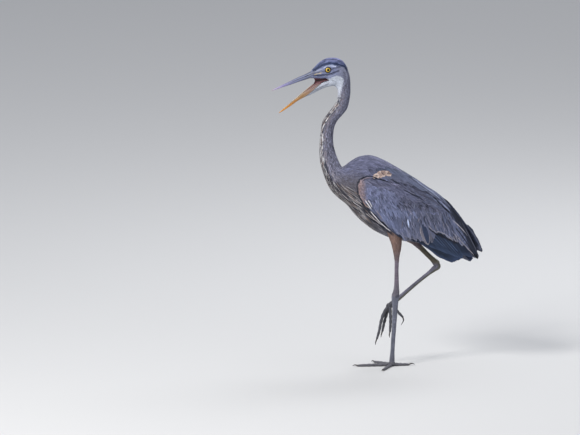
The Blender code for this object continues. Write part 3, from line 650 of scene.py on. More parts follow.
def paint_head(p):
    h = head_space(p)
    x, z = h[..., 0], h[..., 2]
    wob = value_noise(h, 5.0, 3) * 1.3
    z = z + wob * 0.5
    c = np.broadcast_to(np.array(FACE), p.shape).copy()
    c = mix(c, (0.235, 0.250, 0.350), ramp(x, -182, -158))
    # crown: slate blue, darkest along its sides and at the end of the crest
    top = np.interp(x, [-242, -228, -210, -193, -172, -152, -136], [882, 888, 895, 899, 898, 898, 897])
    crown = ramp(z + wob, top - 2.0, top + 2.0)
    mid = mix((0.190, 0.225, 0.400), (0.112, 0.150, 0.300), ramp(x, -225, -180))
    mid = mix(mid, (0.250, 0.262, 0.470), ramp(z, top + 9, top + 18) * 0.8)
    c = mix(c, mid, crown)
    c = mix(c, CROWN, stroke(x, z, [(-236, 884), (-214, 900), (-194, 906.5), (-170, 907), (-146, 903)], 3.4, 2.6) * 0.95)
    c = mix(c, CROWN, stroke(x, z, [(-176, 903), (-158, 904), (-141, 899)], 5.2, 3.0) * 0.95)
    c = mix(c, CROWN, stroke(x, z, [(-228, 893), (-219, 903), (-206, 911)], 1.5, 1.4) * 0.75)
    c = mix(c, CROWN, stroke(x, z, [(-170, 914), (-156, 913), (-146, 908)], 2.4, 2.0) * 0.7)
    c = mix(c, (0.034, 0.042, 0.084), stroke(x, z, [(-214, 912), (-190, 917), (-168, 917)], 1.6, 1.5) * 0.75)
    # pale line over the eye and pale flecks at the bill's root
    c = mix(c, (0.560, 0.610, 0.800), stroke(x, z, [(-208, 893), (-199, 898.5), (-188, 899.5), (-176, 896)], 1.8, 1.4) * 0.9)
    c = mix(c, (0.480, 0.510, 0.640), stroke(x, z, [(-238, 879.5), (-226, 884), (-214, 889)], 1.5, 1.4) * 0.75)
    # nape behind the crest
    c = mix(c, NAPE, ramp(x, -160, -148) * (1 - ramp(z, 889, 896)))
    c = mix(c, (0.330, 0.345, 0.460), stroke(x, z, [(-150, 892), (-143, 880), (-140, 862)], 4.0, 3.5) * 0.5)
    # dark lines before, under and behind the eye
    c = mix(c, (0.040, 0.046, 0.085), stroke(x, z, [(-241, 872), (-226, 870.5), (-210, 871.5), (-196, 873.5), (-182, 877), (-168, 884)], 2.2, 1.7) * 0.9)
    c = mix(c, (0.060, 0.068, 0.125), stroke(x, z, [(-182, 889), (-170, 894), (-158, 898)], 2.0, 2.0) * 0.8)
    c = mix(c, (0.055, 0.058, 0.095), stroke(x, z, [(-226, 878), (-212, 882), (-203, 884.5)], 1.2, 1.2) * 0.8)
    c = mix(c, (0.350, 0.370, 0.480), stroke(x, z, [(-206, 867.5), (-192, 868.5), (-176, 873)], 1.3, 1.2) * 0.6)
    # white cheek and throat
    edge = np.interp(x, [-245, -214, -199, -175, -154, -146], [829, 848, 860.5, 870, 866, 852])
    c = mix(c, WHITE, (1 - ramp(z + wob, edge - 2.4, edge + 1.2)) * (1 - ramp(x, -157, -149)))
    return c * (1 + 0.08 * value_noise(h, 3.2, 31))[..., None]


def paint_neck(p, s, v):
    cd = np.cos(2 * math.pi * v)
    c = mix(NECK, NAPE, ramp(cd, -0.1, 0.8) * (1 - ramp(s, 9, 13)) * 0.8)
    c = mix(c, (0.150, 0.150, 0.205), ramp(s, 12, 17) * ramp(cd, -0.6, 0.4) * 0.5)
    c = mix(c, (0.300, 0.290, 0.330), (1 - ramp(cd, -0.98, -0.72)) * (1 - ramp(s, 15, 19)) * 0.7)
    c = mix(c, WHITE, (1 - ramp(cd, -0.80, -0.25)) * (1 - ramp(s, 7.0, 8.9)))
    return c * (1 + 0.06 * value_noise(p, 22.0, 5))[..., None]


def paint_trunk(p, s, v):
    cd = np.cos(2 * math.pi * v)
    c = mix(BREAST, MANTLE, ramp(cd, -0.15, 0.45))
    c = mix(c, BACK, ramp(cd, 0.2, 0.7) * ramp(s, 24, 29))
    c = mix(c, BELLY, (1 - ramp(cd, -0.8, -0.3)) * ramp(s, 22, 25))
    c = mix(c, (0.23, 0.23, 0.28), (1 - ramp(cd, -0.75, -0.2)) * ramp(s, 28.5, 31))
    return c * (1 + 0.07 * value_noise(p, 40.0, 6))[..., None]


def paint(p, s, v):
    c = paint_trunk(p, s, v)
    c = mix(c, paint_neck(p, s, v), 1 - ramp(s, 18.0, 21.0))
    return mix(c, paint_head(p), 1 - ramp(s, 6.6, 8.0))


def vane_colour(base, steps, cols, edge=None, edge_amt=0.0, shaft=None, shaft_amt=0.0, root_dark=0.72, jitter=0.07,
                tip=None, tip_amt=0.0, edge_from=0.35, dark_edge=0.0, edge_pow=3):
    """Colours for vanes from one colour a vane: (n, steps+1, cols, 3)."""
    n = len(base)
    t = np.array(TS[steps])[None, :, None, None]
    w = cross(cols)[None, None, :, None]
    c = base[:, None, None, :] * np.clip(1 + 1.35 * jitter * RNG.normal(0, 1, (n, 1, 1, 1)), 0.4, 1.8)
    # painted shade: each vane is darker towards its root, where the vanes over it overlap it
    c = c * (root_dark + (1 - root_dark) * smooth(t / 0.6))
    if dark_edge:
        c = c * (1 - dark_edge * np.abs(w) ** 2)
    if edge is not None:
        amt = col(edge_amt, n)[:, None, None, None]
        k = np.maximum(np.abs(w) ** edge_pow, ramp(t, 0.86 + 0.02 * (edge_pow - 3), 1.0)) * ramp(t, edge_from, edge_from + 0.35) * amt
        c = c * (1 - k) + np.asarray(edge) * k
    if tip is not None:
        k = ramp(t, 0.62, 0.98) * col(tip_amt, n)[:, None, None, None]
        c = c * (1 - k) + np.asarray(tip) * k
    if shaft is not None:
        amt = col(shaft_amt, n)[:, None, None, None]
        k = np.clip(1 - np.abs(w) * (cols - 1) / 2, 0, 1) * amt * ramp(t, 0.0, 0.25)
        c = c * (1 - k) + np.asarray(shaft) * k
    return np.clip(c, 0.002, 0.9) * np.ones((n, steps + 1, cols, 1))


FEATHER = feather_material("feather_barbs")
DOWN = feather_material("feather_small", rough=0.74, sheen=0.08, barb=1.6, bump=0.25, spec=0.18)
FLIGHT = feather_material("feather_flight", rough=0.58, sheen=0.03, barb=0.8, bump=0.4, spec=0.28, low=0.70, high=1.25)


# ------------------------------------------------------------------ coat of the head
def coat_head():
    coat = Coat()

    def keep(p, u, v):
        h = head_space(p)
        x, z, y = h[:, 0], h[:, 2], h[:, 1]
        eye = np.hypot(x - EYE[0], (z - EYE[2]) * 1.06) > 8.7
        inner = np.hypot(x - EYE[0], z - EYE[2]) < 16
        lore = np.abs(z - np.interp(x, [-242, -204], [875.0, 882.5])) > np.interp(x, [-242, -222, -204], [4.6, 4.4, 1.8])
        lore |= x > -203
        gape = (np.cos(2 * np.pi * v) > -0.86) | (u > 3.3)
        return (eye | ~inner) & lore & gape

    u, v = scatter(BODY_S, -0.22, 7.2, lambda s: 1.55 + 0.07 * max(s, 0), keep=keep)
    p = BODY_S.at(u, v)[0]
    cd = np.cos(2 * np.pi * v)
    crown = ramp(cd, 0.35, 0.8)
    ln = (4.6 + 1.05 * np.maximum(u, 0)) * (1 + 0.45 * crown) * RNG.uniform(0.85, 1.15, len(u))
    wd = (0.92 + 0.065 * np.maximum(u, 0)) * RNG.uniform(0.85, 1.15, len(u))
    near_eye = np.hypot(head_space(p)[:, 0] - EYE[0], head_space(p)[:, 2] - EYE[2]) < 14
    ln[near_eye] *= 0.55
    wd[near_eye] *= 0.75
    down = np.where(v < 0.5, -1.0, 1.0) * (1 - crown) * 0.35 * ramp(u, 2.0, 4.0)
    base = -1.25 + 1.4 * (1 - ramp(u, -0.22, 0.7))
    pts = grow(BODY_S, u, v, ln, wd, steps=3, cols=3, base=base, rise=1.35 - 0.8 * (1 - ramp(u, -0.22, 0.7)), camber=0.35, angle=down + RNG.normal(0, 0.10, len(u)),
               ragged=0.04)
    c = vane_colour(paint_head(p + unit(BODY_S.at(u, v)[2]) * 2.0), 3, 3, root_dark=0.62, jitter=0.10, shaft=None)
    coat.add(pts, c, ln, wd, (0.02 + 0.96 * np.clip(u, 0, 8) / 8, v))
    # crest: narrow plumes off the back of the crown
    n = 90
    u = RNG.uniform(4.2, 6.2, n)
    v = np.mod(RNG.uniform(-0.13, 0.13, n), 1.0)
    ln, wd = RNG.uniform(15, 27, n), RNG.uniform(1.7, 2.5, n)
    pts = grow(BODY_S, u, v, ln, wd, steps=5, cols=3, shape="lance", base=-0.8, rise=RNG.uniform(0.8, 2.2, n), camber=0.2,
               angle=RNG.normal(0, 0.10, n), ragged=0.03, curve=1.4)
    base = paint_head(BODY_S.at(u, v)[0] + np.array([0, 0, 2.0]))
    coat.add(pts, vane_colour(base, 5, 3, jitter=0.12, tip=NAPE, tip_amt=0.15), ln, wd, (0.02 + 0.96 * u / 8, v))
    return coat.build("coat_head", DOWN, "head_plumage")


def coat_chin():
    coat = Coat()

    def keep(p, u, v):
        h = head_space(p)
        behind = line_side(h[:, 0], h[:, 2], (-273, 797), (-212, 851))
        return (behind < -0.6 + RNG.uniform(-2.2, 0.2, len(u))) & (np.cos(2 * np.pi * v) < 0.66 + 0.36 * ramp(h[:, 0], -224, -208))

    u, v = scatter(JAW_S, 0.0, 7.0, 1.35, keep=keep)
    p = JAW_S.at(u, v)[0]
    h = head_space(p)
    front = 1 - ramp(-line_side(h[:, 0], h[:, 2], (-273, 797), (-212, 851)), 0.5, 5.0)
    ln, wd = (7.8 - 0.4 * u) * RNG.uniform(0.85, 1.15, len(u)) * (1 - 0.35 * front), (1.0 - 0.04 * u) * RNG.uniform(0.85, 1.15, len(u)) * (1 - 0.35 * front)
    pts = grow(JAW_S, u, v, ln, wd, steps=3, cols=3, shape="lance", base=-0.7 - 0.2 * front, rise=1.2 - 0.4 * front, camber=0.25, angle=math.pi + RNG.normal(0, 0.12, len(u)), ragged=0.03)
    base = np.broadcast_to(np.array(WHITE), p.shape) * (1 + 0.07 * value_noise(h, 7.0, 9))[:, None]
    # painted shade: two blue-grey lines along the white chin, under the jaw
    low = stroke(h[:, 0], h[:, 2], [(-246, 820), (-222, 832), (-196, 845)], 1.2, 1.1)
    base = mix(base, (0.21, 0.22, 0.27), low * 0.85)
    base = mix(base, (0.30, 0.31, 0.37), stroke(h[:, 0], h[:, 2], [(-232, 820), (-206, 831), (-184, 838)], 0.9, 0.9) * 0.6)
    base = mix(base, (0.020, 0.020, 0.028), stroke(h[:, 0], h[:, 2], [(-240, 825), (-226, 838), (-216, 846)], 1.3, 0.8) * 0.9)
    coat.add(pts, vane_colour(base, 3, 3, root_dark=0.72, jitter=0.06), ln, wd, (0.02 + 0.96 * u / 9, v))
    return coat.build("coat_chin", DOWN, "chin_plumage")


# ------------------------------------------------------------------ coat of the neck
def coat_neck():
    coat = Coat()
    u, v = scatter(BODY_S, 6.9, 19.8, lambda s: 2.1 + 0.08 * (s - 7))
    p, _, _, _ = BODY_S.at(u, v)
    cd = np.cos(2 * np.pi * v)
    n = len(u)
    ln = (11.5 + 0.85 * (u - 7)) * RNG.uniform(0.85, 1.2, n)
    wd = (1.35 + 0.085 * (u - 7)) * RNG.uniform(0.85, 1.15, n)
    pts = grow(BODY_S, u, v, ln, wd, steps=3, cols=3, base=-2.1, rise=2.5, camber=0.3, angle=RNG.normal(0, 0.10, n), ragged=0.06)
    base = paint(p, u, v)
    base = base * (1 + 0.16 * value_noise(p, 6.0, 15) + 0.10 * value_noise(p, 2.6, 16))[:, None]
    fleck = RNG.uniform(0, 1, n)
    body = 1 - (1 - ramp(u, 8.0, 9.5)) * (cd < -0.1)
    base = base * (1 + body * (0.80 * (fleck < 0.20) - 0.52 * (fleck > 0.76)))[:, None]
    around = (np.abs(v - 0.5) * 2 * np.pi)
    # a braid of white and black down the front, edged with rufous
    half = np.interp(u, [7.5, 9.5, 12, 16, 19], [1.0, 1.16, 1.12, 1.04, 1.10])
    front = 1 - ramp(around, half - 0.14, half + 0.10)
    line = np.concatenate([[0], np.cumsum(np.linalg.norm(np.diff(BODY_S.p.mean(1), axis=0), axis=1))])
    arc = np.interp(u, S_GRID, line)
    braid = np.sin(arc * 2 * np.pi / 12.0 + 2.6 * np.sin(around * 3.1) + 1.1 * value_noise(p, 9.0, 17)) + 0.35 * np.cos(around * 8.0)
    start = ramp(u, 8.0, 9.6)
    base = mix(base, (0.018, 0.020, 0.034), front * (braid > 0.06) * start * 0.95)
    base = mix(base, (0.80, 0.80, 0.83), front * (braid < -0.12) * start * 0.95)
    base = mix(base, (0.018, 0.020, 0.034), np.exp(-((around - half) / 0.10) ** 2) * start * (RNG.uniform(0, 1, n) < 0.78) * 0.85)
    base = mix(base, (0.60, 0.63, 0.72), front * (1 - start) * ramp(u, 5.5, 7.5) * 0.8)
    rim = ramp(around, half, half + 0.2) * (1 - ramp(around, half + 0.3, half + 0.7))
    base = mix(base, (0.235, 0.180, 0.165), rim * start * (RNG.uniform(0, 1, n) < 0.5) * 0.55)
    base = mix(base, (0.40, 0.41, 0.48), rim * (RNG.uniform(0, 1, n) < 0.15) * 0.5)
    c = vane_colour(base, 3, 3, jitter=0.12, root_dark=0.5, tip=(0.30, 0.31, 0.41), tip_amt=0.16)
    coat.add(pts, c, ln, wd, (0.02 + 0.96 * (u - 6) / 15, v))
    return coat.build("coat_neck", DOWN, "neck_plumage")


def coat_foreneck():
    """Long streaked plumes down the front of the neck and hanging from the breast."""
    coat = Coat()
    n = 620
    u = np.sort(RNG.uniform(10.5, 18.8, n))
    v = 0.5 + RNG.uniform(-1, 1, n) * (0.15 + 0.06 * ramp(u, 14, 19))
    ln = (20 + 3.6 * (u - 10)) * RNG.uniform(0.8, 1.2, n)
    ln = ln * 0.8
    wd = RNG.uniform(1.1, 1.9, n)
    pts = grow(BODY_S, u, v, ln, wd, steps=6, cols=3, shape="lance", base=-0.8, rise=2.0, camber=0.2, angle=RNG.normal(0, 0.07, n), ragged=0.02)
    side = np.abs(v - 0.5) / 0.14
    pick = np.mod(side * 2.0 + 0.20 * np.sin(u * 7.0) + RNG.normal(0, 0.06, n), 1.0)[:, None]
    base = np.where(pick < 0.36, np.array([0.74, 0.73, 0.75]), np.where(pick < 0.76, np.array([0.022, 0.025, 0.042]), np.array([0.25, 0.180, 0.155])))
    coat.add(pts, vane_colour(base, 6, 3, jitter=0.10, edge=(0.10, 0.10, 0.14), edge_amt=0.4), ln, wd, (0.02 + 0.96 * (u - 9) / 15, np.mod(v, 1)))
    # breast plumes
    n = 1500
    u = RNG.uniform(17.4, 24.6, n)
    v = 0.5 + RNG.uniform(-1, 1, n) * np.interp(u, [17.4, 20, 22, 24.6], [0.15, 0.21, 0.20, 0.17])
    ln = np.interp(u, [17.4, 21, 24.6], [42, 66, 50]) * RNG.uniform(0.75, 1.2, n)
    wd = RNG.uniform(1.0, 2.0, n)
    p = BODY_S.at(u, v)[0]
    low = 1 - ramp(np.abs(v - 0.5), 0.13, 0.21)
    pick = RNG.uniform(0, 1, n)
    base = paint_trunk(p, u, v) * 0.80
    wd = np.where(pick < 0.38, wd * 0.66, wd)
    base = mix(base, (0.60, 0.58, 0.59), (pick < 0.25 + 0.13 * ramp(u, 19.5, 21.5)) * (0.5 + 0.45 * low))
    base = mix(base, (0.018, 0.019, 0.030), ((pick > 0.40) & (pick < 0.70)) * (0.5 + 0.45 * low))
    base = mix(base, (0.27, 0.205, 0.175), (pick > 0.88) * 0.7)
    pts = grow(BODY_S, u, v, ln, wd, steps=7, cols=3, shape="lance", base=-1.2, rise=3.0, camber=0.2, angle=RNG.normal(0, 0.06, n), ragged=0.02)
    coat.add(pts, vane_colour(base, 7, 3, jitter=0.12, root_dark=0.6), ln, wd, (0.02 + 0.96 * (u - 9) / 16, np.mod(v, 1)))
    return coat.build("coat_foreneck", FEATHER, "neck_plumage")


# ------------------------------------------------------------------ coat of the trunk
def coat_under():
    coat = Coat()
    u, v = scatter(BODY_S, 19.2, 31.4, lambda s: 6.0, keep=lambda p, u, v: np.cos(2 * np.pi * v) < 0.35)
    p = BODY_S.at(u, v)[0]
    ln = np.interp(u, [19, 22, 28, 31], [24, 34, 32, 22]) * RNG.uniform(0.85, 1.15, len(u))
    wd = np.interp(u, [19, 22, 28, 31], [4.8, 6.0, 6.0, 4.6]) * RNG.uniform(0.85, 1.15, len(u))
    pts = grow(BODY_S, u, v, ln, wd, steps=5, cols=3, base=-3.0, rise=3.4, camber=0.22, angle=RNG.normal(0, 0.08, len(u)), ragged=0.045)
    base = paint(p, u, v)
    n = len(u)
    low = 1 - ramp(np.cos(2 * np.pi * v), -0.85, -0.35)
    base = mix(base, (0.33, 0.33, 0.38), low * (RNG.uniform(0, 1, n) < 0.3) * 0.6)
    base = mix(base, (0.04, 0.042, 0.065), low * (RNG.uniform(0, 1, n) < 0.25) * 0.7)
    base = base * (1 + 0.18 * value_noise(p, 9.0, 23))[:, None]
    c = vane_colour(base, 5, 3, jitter=0.12, edge=(0.22, 0.21, 0.25), edge_amt=0.35, root_dark=0.45)
    coat.add(pts, c, ln, wd, (0.02 + 0.96 * (u - 18) / 14, v))
    return coat.build("coat_under", FEATHER, "plumage")


def coat_mantle():
    coat = Coat()

    def keep(p, u, v):
        a = np.abs(np.where(v > 0.5, v - 1, v))
        return a < np.interp(u, [18.8, 21, 24, 28, 31], [0.30, 0.27, 0.21, 0.17, 0.14])

    u, v = scatter(ENV_S, 18.4, 31.2, 6.0, keep=keep)
    p = ENV_S.at(u, v)[0]
    ln = np.interp(u, [18, 22, 28, 31], [22, 34, 38, 30]) * RNG.uniform(0.85, 1.15, len(u))
    wd = np.interp(u, [18, 22, 28, 31], [4.6, 6.4, 6.8, 5.5]) * RNG.uniform(0.85, 1.15, len(u))
    side = np.where(v > 0.5, 1.0, -1.0) * ramp(np.abs(np.where(v > 0.5, v - 1, v)), 0.05, 0.25) * 0.22
    pts = grow(ENV_S, u, v, ln, wd, steps=5, cols=3, base=-2.4, rise=2.5, camber=0.22, angle=side + RNG.normal(0, 0.09, len(u)), ragged=0.04)
    wave = np.sin(p[:, 2] * 2 * np.pi / 8.5 + 0.05 * p[:, 0] + 2.2 * value_noise(p, 22.0, 25))
    base = paint_trunk(p, u, v) * (0.97 + 0.26 * value_noise(p, 11.0, 24) + 0.20 * wave * (1 - ramp(u, 23, 26)))[:, None]
    c = vane_colour(base, 5, 3, jitter=0.13, edge=(0.200, 0.208, 0.310), edge_amt=RNG.uniform(0.2, 0.85, len(u)), root_dark=0.32)
    coat.add(pts, c, ln, wd, (0.02 + 0.96 * (u - 18) / 14, v))
    return coat.build("coat_mantle", FEATHER, "plumage")


# ------------------------------------------------------------------ coat of the wings
def inside(poly, x, z):
    poly = np.asarray(poly, float)
    ok = np.zeros(np.shape(x), bool)
    for (x0, z0), (x1, z1) in zip(poly, np.roll(poly, -1, 0)):
        hit = ((z0 > z) != (z1 > z)) & (x < (x1 - x0) * (z - z0) / (z1 - z0 + 1e-9) + x0)
        ok ^= hit
    return ok


def row(roots, tips, n, jitter=0.0):
    roots, tips = np.asarray(roots, float), np.asarray(tips, float)
    t = np.linspace(0, 1, n)
    def along(a):
        d = np.concatenate([[0], np.cumsum(np.hypot(*np.diff(a, axis=0).T))])
        return np.stack([np.interp(t * d[-1], d, a[:, 0]), np.interp(t * d[-1], d, a[:, 1])], -1)
    r, e = along(roots), along(tips)
    return r + RNG.normal(0, jitter, r.shape), e + RNG.normal(0, jitter, e.shape)


LEAD = [(-70, 575), (-88, 566), (-95, 549), (-92, 525), (-84, 510), (-70, 493), (-52, 469), (-29, 442), (-2, 419)]
LESSER = [(-82, 569), (-52, 577), (-5, 568), (45, 552), (104, 528), (153, 492), (130, 473), (75, 479), (16, 491), (-29, 493), (-58, 499), (-76, 510), (-90, 531)]


def lay_on(surf, coat, turn, roots, tips, width, steps, cols, shape, base, rise, colour, tilt=0.0, bend=0.0, camber=0.12,
           ragged=0.015, patch=0.003, curve=1.0, thin=0.22):
    """Vanes laid from root to tip over a wing's height field, thinner where the wing is thinner."""
    a, b = turn(np.asarray(roots, float)), turn(np.asarray(tips, float))
    d = b - a
    ln = np.hypot(d[:, 0], d[:, 1])
    u, v = surf.uv(a)
    _, nn, pu, _ = surf.at(u, v)
    t = unit(pu)
    want = unit(np.stack([d[:, 0], np.zeros(len(d)), d[:, 1]], -1))
    ang = np.arctan2((want * np.cross(nn, t)).sum(-1), (want * t).sum(-1))
    pts = grow(surf, u, v, ln, width, steps=steps, cols=cols, shape=shape, angle=ang, base=base, rise=rise, tilt=tilt,
               bend=bend, camber=camber, ragged=ragged, curve=curve,
               squeeze=lambda q: np.clip(surf.thickness(q[..., [0, 2]]) / 8.0, thin, 1.0))
    coat.add(pts, colour, ln, width, (np.clip((u - WX[0]) / (WX[-1] - WX[0]), 0, 1), v), patch)


def hue(base, n, steps, cols, edge=None, amt=0.0, **kw):
    return vane_colour(np.broadcast_to(np.asarray(base, float), (n, 3)), steps, cols, edge=edge, edge_amt=amt, **kw)


# single vanes that stand out on the folded wing, pale or dark: from, to, half width, colour
STREAKS = [
    ((-37.5, 543), (-36, 526), 2.6, (0.190, 0.235, 0.350)), ((-37, 516), (-32, 500), 2.4, (0.200, 0.245, 0.360)),
    ((-25, 509), (-23.5, 492), 1.4, (0.210, 0.220, 0.345)), ((-28.5, 502), (-30.5, 469), 3.0, (0.052, 0.056, 0.088)),
    ((-1, 528), (2, 521), 1.6, (0.210, 0.235, 0.345)), ((1, 512), (9, 505), 1.0, (0.210, 0.220, 0.340)),
    ((43, 486), (49, 474), 1.8, (0.240, 0.270, 0.380)), ((50, 485), (67, 463), 1.8, (0.230, 0.220, 0.300)),
    ((57, 471), (50.5, 457), 1.6, (0.220, 0.210, 0.290)), ((58.5, 506), (56, 494), 1.4, (0.200, 0.210, 0.290)),
    ((73, 495), (65, 478), 1.8, (0.200, 0.220, 0.310)),
    ((39, 451), (33.5, 417), 1.6, (0.260, 0.215, 0.220)), ((57, 472), (52, 457), 1.4, (0.200, 0.200, 0.280)),
    ((58, 478), (68, 463), 1.6, (0.220, 0.220, 0.310)), ((71.5, 495), (71.3, 482), 2.2, (0.200, 0.235, 0.345)),
    ((94, 477), (83, 458), 0.9, (0.220, 0.230, 0.320)), ((90, 467), (77, 445), 1.3, (0.035, 0.040, 0.070)),
    ((85, 455), (81, 440), 2.2, (0.250, 0.220, 0.250)), ((70, 421), (66, 404), 1.0, (0.230, 0.240, 0.330)),
    ((75, 420), (77, 402), 1.0, (0.230, 0.240, 0.330)), ((81, 412), (81.5, 394), 1.2, (0.260, 0.250, 0.320)),
    ((49, 429), (66, 407), 1.6, (0.040, 0.044, 0.072)), ((104, 471), (118, 446), 1.5, (0.350, 0.360, 0.460)),
    ((115, 469), (121, 452), 1.6, (0.230, 0.240, 0.330)), ((97, 454), (109.5, 425), 3.2, (0.030, 0.042, 0.078)),
    ((101, 463), (113, 437), 1.8, (0.034, 0.044, 0.078)), ((133, 433), (134, 412), 1.4, (0.360, 0.360, 0.440)),
    ((153, 441), (157.5, 419), 1.2, (0.310, 0.285, 0.335)), ((156, 424), (161, 406), 1.0, (0.310, 0.285, 0.335)),
    ((161, 439), (171, 419), 1.3, (0.300, 0.290, 0.360)), ((169, 424), (177, 405), 1.1, (0.300, 0.290, 0.360)),
    ((144, 461), (150, 446), 1.4, (0.230, 0.240, 0.330)), ((166, 456), (174, 438), 1.2, (0.250, 0.255, 0.335)),
    ((126, 452), (134, 434), 1.1, (0.220, 0.230, 0.310)), ((-8, 470), (-2, 448), 1.2, (0.190, 0.205, 0.300)),
    ((16, 470), (20, 446), 1.4, (0.185, 0.205, 0.310)), ((96, 498), (104, 482), 1.4, (0.150, 0.155, 0.220)),
    ((118, 492), (128, 476), 1.4, (0.050, 0.054, 0.086)), ((26, 500), (36, 486), 1.5, (0.048, 0.050, 0.080)),
    ((138, 478), (146, 462), 1.4, (0.052, 0.056, 0.090)), ((84, 486), (92, 472), 1.5, (0.050, 0.054, 0.088)),
]
# borders and gaps that run over several vanes; the near-black gaps are painted shade, most of it under the tertials'
# border
WING_SEAMS = [
    ([(112, 425), (123.6, 411), (141, 406.5)], 3, 19, 1.7, (0.006, 0.008, 0.014), 1.2),
    ([(138, 403), (160, 404)], 2, 16, 1.5, (0.006, 0.008, 0.014), 1.2),
    ([(112, 431), (123.5, 418), (138, 412), (158.4, 410), (171, 396), (182, 388)], 6, 17, 0.85, (0.400, 0.380, 0.440), 2.0),
    ([(52, 537), (62.7, 538.6), (77, 539)], 3, 13, 1.8, (0.012, 0.013, 0.022), 1.0),
    ([(56, 534), (73, 525)], 2, 13, 1.1, (0.030, 0.033, 0.055), 1.0),
    ([(55, 530.5), (72, 522)], 2, 13, 0.8, (0.200, 0.200, 0.280), 1.2),
    ([(77, 503), (94.3, 503.2), (106, 508)], 3, 15, 0.8, (0.165, 0.168, 0.240), 1.0),
    ([(75, 509), (92, 508.6), (102, 514)], 3, 14, 0.7, (0.160, 0.162, 0.235), 1.0),
    ([(31, 412), (41.5, 398.5), (56, 393), (79, 391)], 4, 20, 0.7, (0.215, 0.215, 0.290), 1.2),
    ([(31, 404.5), (44.4, 392), (66.5, 387)], 3, 20, 0.7, (0.215, 0.215, 0.290), 1.2),
    ([(176, 400), (180, 390), (184, 384)], 2, 12, 1.9, (0.250, 0.245, 0.315), 1.9),
    ([(184, 398), (188, 388), (192, 381)], 2, 12, 1.9, (0.260, 0.250, 0.315), 2.0),
    ([(191, 397), (195, 387), (198, 379)], 2, 12, 1.9, (0.250, 0.245, 0.310), 2.1),
    ([(199, 396), (203, 388), (206, 381)], 2, 12, 1.7, (0.240, 0.235, 0.300), 2.1),
    ([(187, 398), (191, 386)], 1, 13, 0.9, (0.040, 0.042, 0.066), 2.3),
    ([(195, 397), (199, 385)], 1, 13, 0.9, (0.040, 0.042, 0.066), 2.3),
    ([(89, 426), (88.5, 409), (91.5, 403)], 2, 17, 0.8, (0.330, 0.310, 0.350), 1.6),
    ([(91, 405), (98.7, 394), (110, 375.5)], 3, 17, 0.7, (0.340, 0.320, 0.350), 2.2),
]
# lines where the wing's front edge meets the breast, the near-black ones painted shadow along that edge: course, vanes,
# their length, half width, colour, height
WING_LINES = [
    ([(-61, 454), (-48, 445), (-35, 435), (-20, 424)], 5, 24, 1.7, (0.014, 0.015, 0.024), -1.4),
    ([(-66, 470), (-55, 456), (-46, 449), (-37, 442), (-24, 431)], 6, 20, 1.2, (0.420, 0.385, 0.400), -0.8),
    ([(-68, 487), (-60, 474), (-51, 462), (-40, 449), (-28, 436), (-14, 424)], 8, 24, 1.6, (0.020, 0.020, 0.032), -0.9),
    ([(-57.5, 475), (-52, 472), (-42, 459), (-33, 448), (-22, 437), (-11, 425), (-1, 421)], 9, 24, 2.1, (0.011, 0.013, 0.024), 0.0),
    ([(-24, 444), (-15, 433), (-6, 424)], 3, 17, 2.3, (0.010, 0.012, 0.022), 0.2),
    ([(-80, 503), (-73, 492), (-66, 484)], 6, 13, 1.6, (0.330, 0.235, 0.215), 0.3),
    ([(-41, 478), (-35, 470), (-30, 461), (-24.5, 449)], 7, 15, 1.5, (0.215, 0.190, 0.218), 0.2),
    ([(-23.5, 449), (-14, 438), (-4, 427)], 3, 19, 0.8, (0.330, 0.335, 0.400), 0.9),
    ([(5, 422.5), (19, 407)], 2, 15, 1.1, (0.016, 0.019, 0.034), 0.5),
    ([(8.5, 425), (24, 408.5), (40, 397)], 3, 19, 0.75, (0.250, 0.262, 0.340), 0.9),
    ([(-63.5, 512), (-52, 503)], 2, 12, 1.1, (0.020, 0.022, 0.036), 0.9),
    ([(-67.5, 507), (-62, 498), (-55, 489)], 3, 13, 1.3, (0.014, 0.015, 0.026), 0.9),
    ([(-59, 497), (-54.5, 488), (-50, 479)], 2, 12, 1.1, (0.024, 0.026, 0.042), 0.9),
    ([(-65, 508.5), (-59, 501), (-55, 492.5), (-52.5, 487)], 3, 14, 1.35, (0.700, 0.690, 0.720), 1.2),
    ([(-73.5, 507), (-66, 497.5), (-59, 487), (-53.5, 479)], 4, 17, 1.6, (0.780, 0.770, 0.800), 1.2),
    ([(-58, 474), (-47.5, 461.5), (-38, 449.5), (-28.5, 438.5)], 5, 21, 1.4, (0.780, 0.780, 0.820), 1.1),
    ([(-34, 445), (-19, 430), (-8, 421), (2, 413.5)], 5, 20, 1.25, (0.640, 0.630, 0.670), 1.1),
]


def runs(lay, coat, lines, clear=None):
    """Narrow vanes laid end over end along each course, kept within an outline if one is given."""
    for pts, n, length, width, tone, base in lines:
        pts = np.asarray(pts, float)
        d = np.concatenate([[0], np.cumsum(np.hypot(*np.diff(pts, axis=0).T))])
        q = np.linspace(0, max(d[-1] - length * 0.7, 0.1), n)
        a = np.stack([np.interp(q, d, pts[:, 0]), np.interp(q, d, pts[:, 1])], -1) + RNG.normal(0, 0.2, (n, 2))
        b = np.stack([np.interp(q + length, d, pts[:, 0]), np.interp(q + length, d, pts[:, 1])], -1) + RNG.normal(0, 0.3, (n, 2))
        if clear is not None:
            m = clear(a) & clear(b) & clear(b + [3, 0]) & clear(b + [0, 3])
            a, b, n = a[m], b[m], int(m.sum())
            if n == 0:
                continue
        lay(coat, a, b, width, 6, 3, "lance", base, 0.7, hue(tone, n, 6, 3, root_dark=0.85, jitter=0.10), camber=0.22)


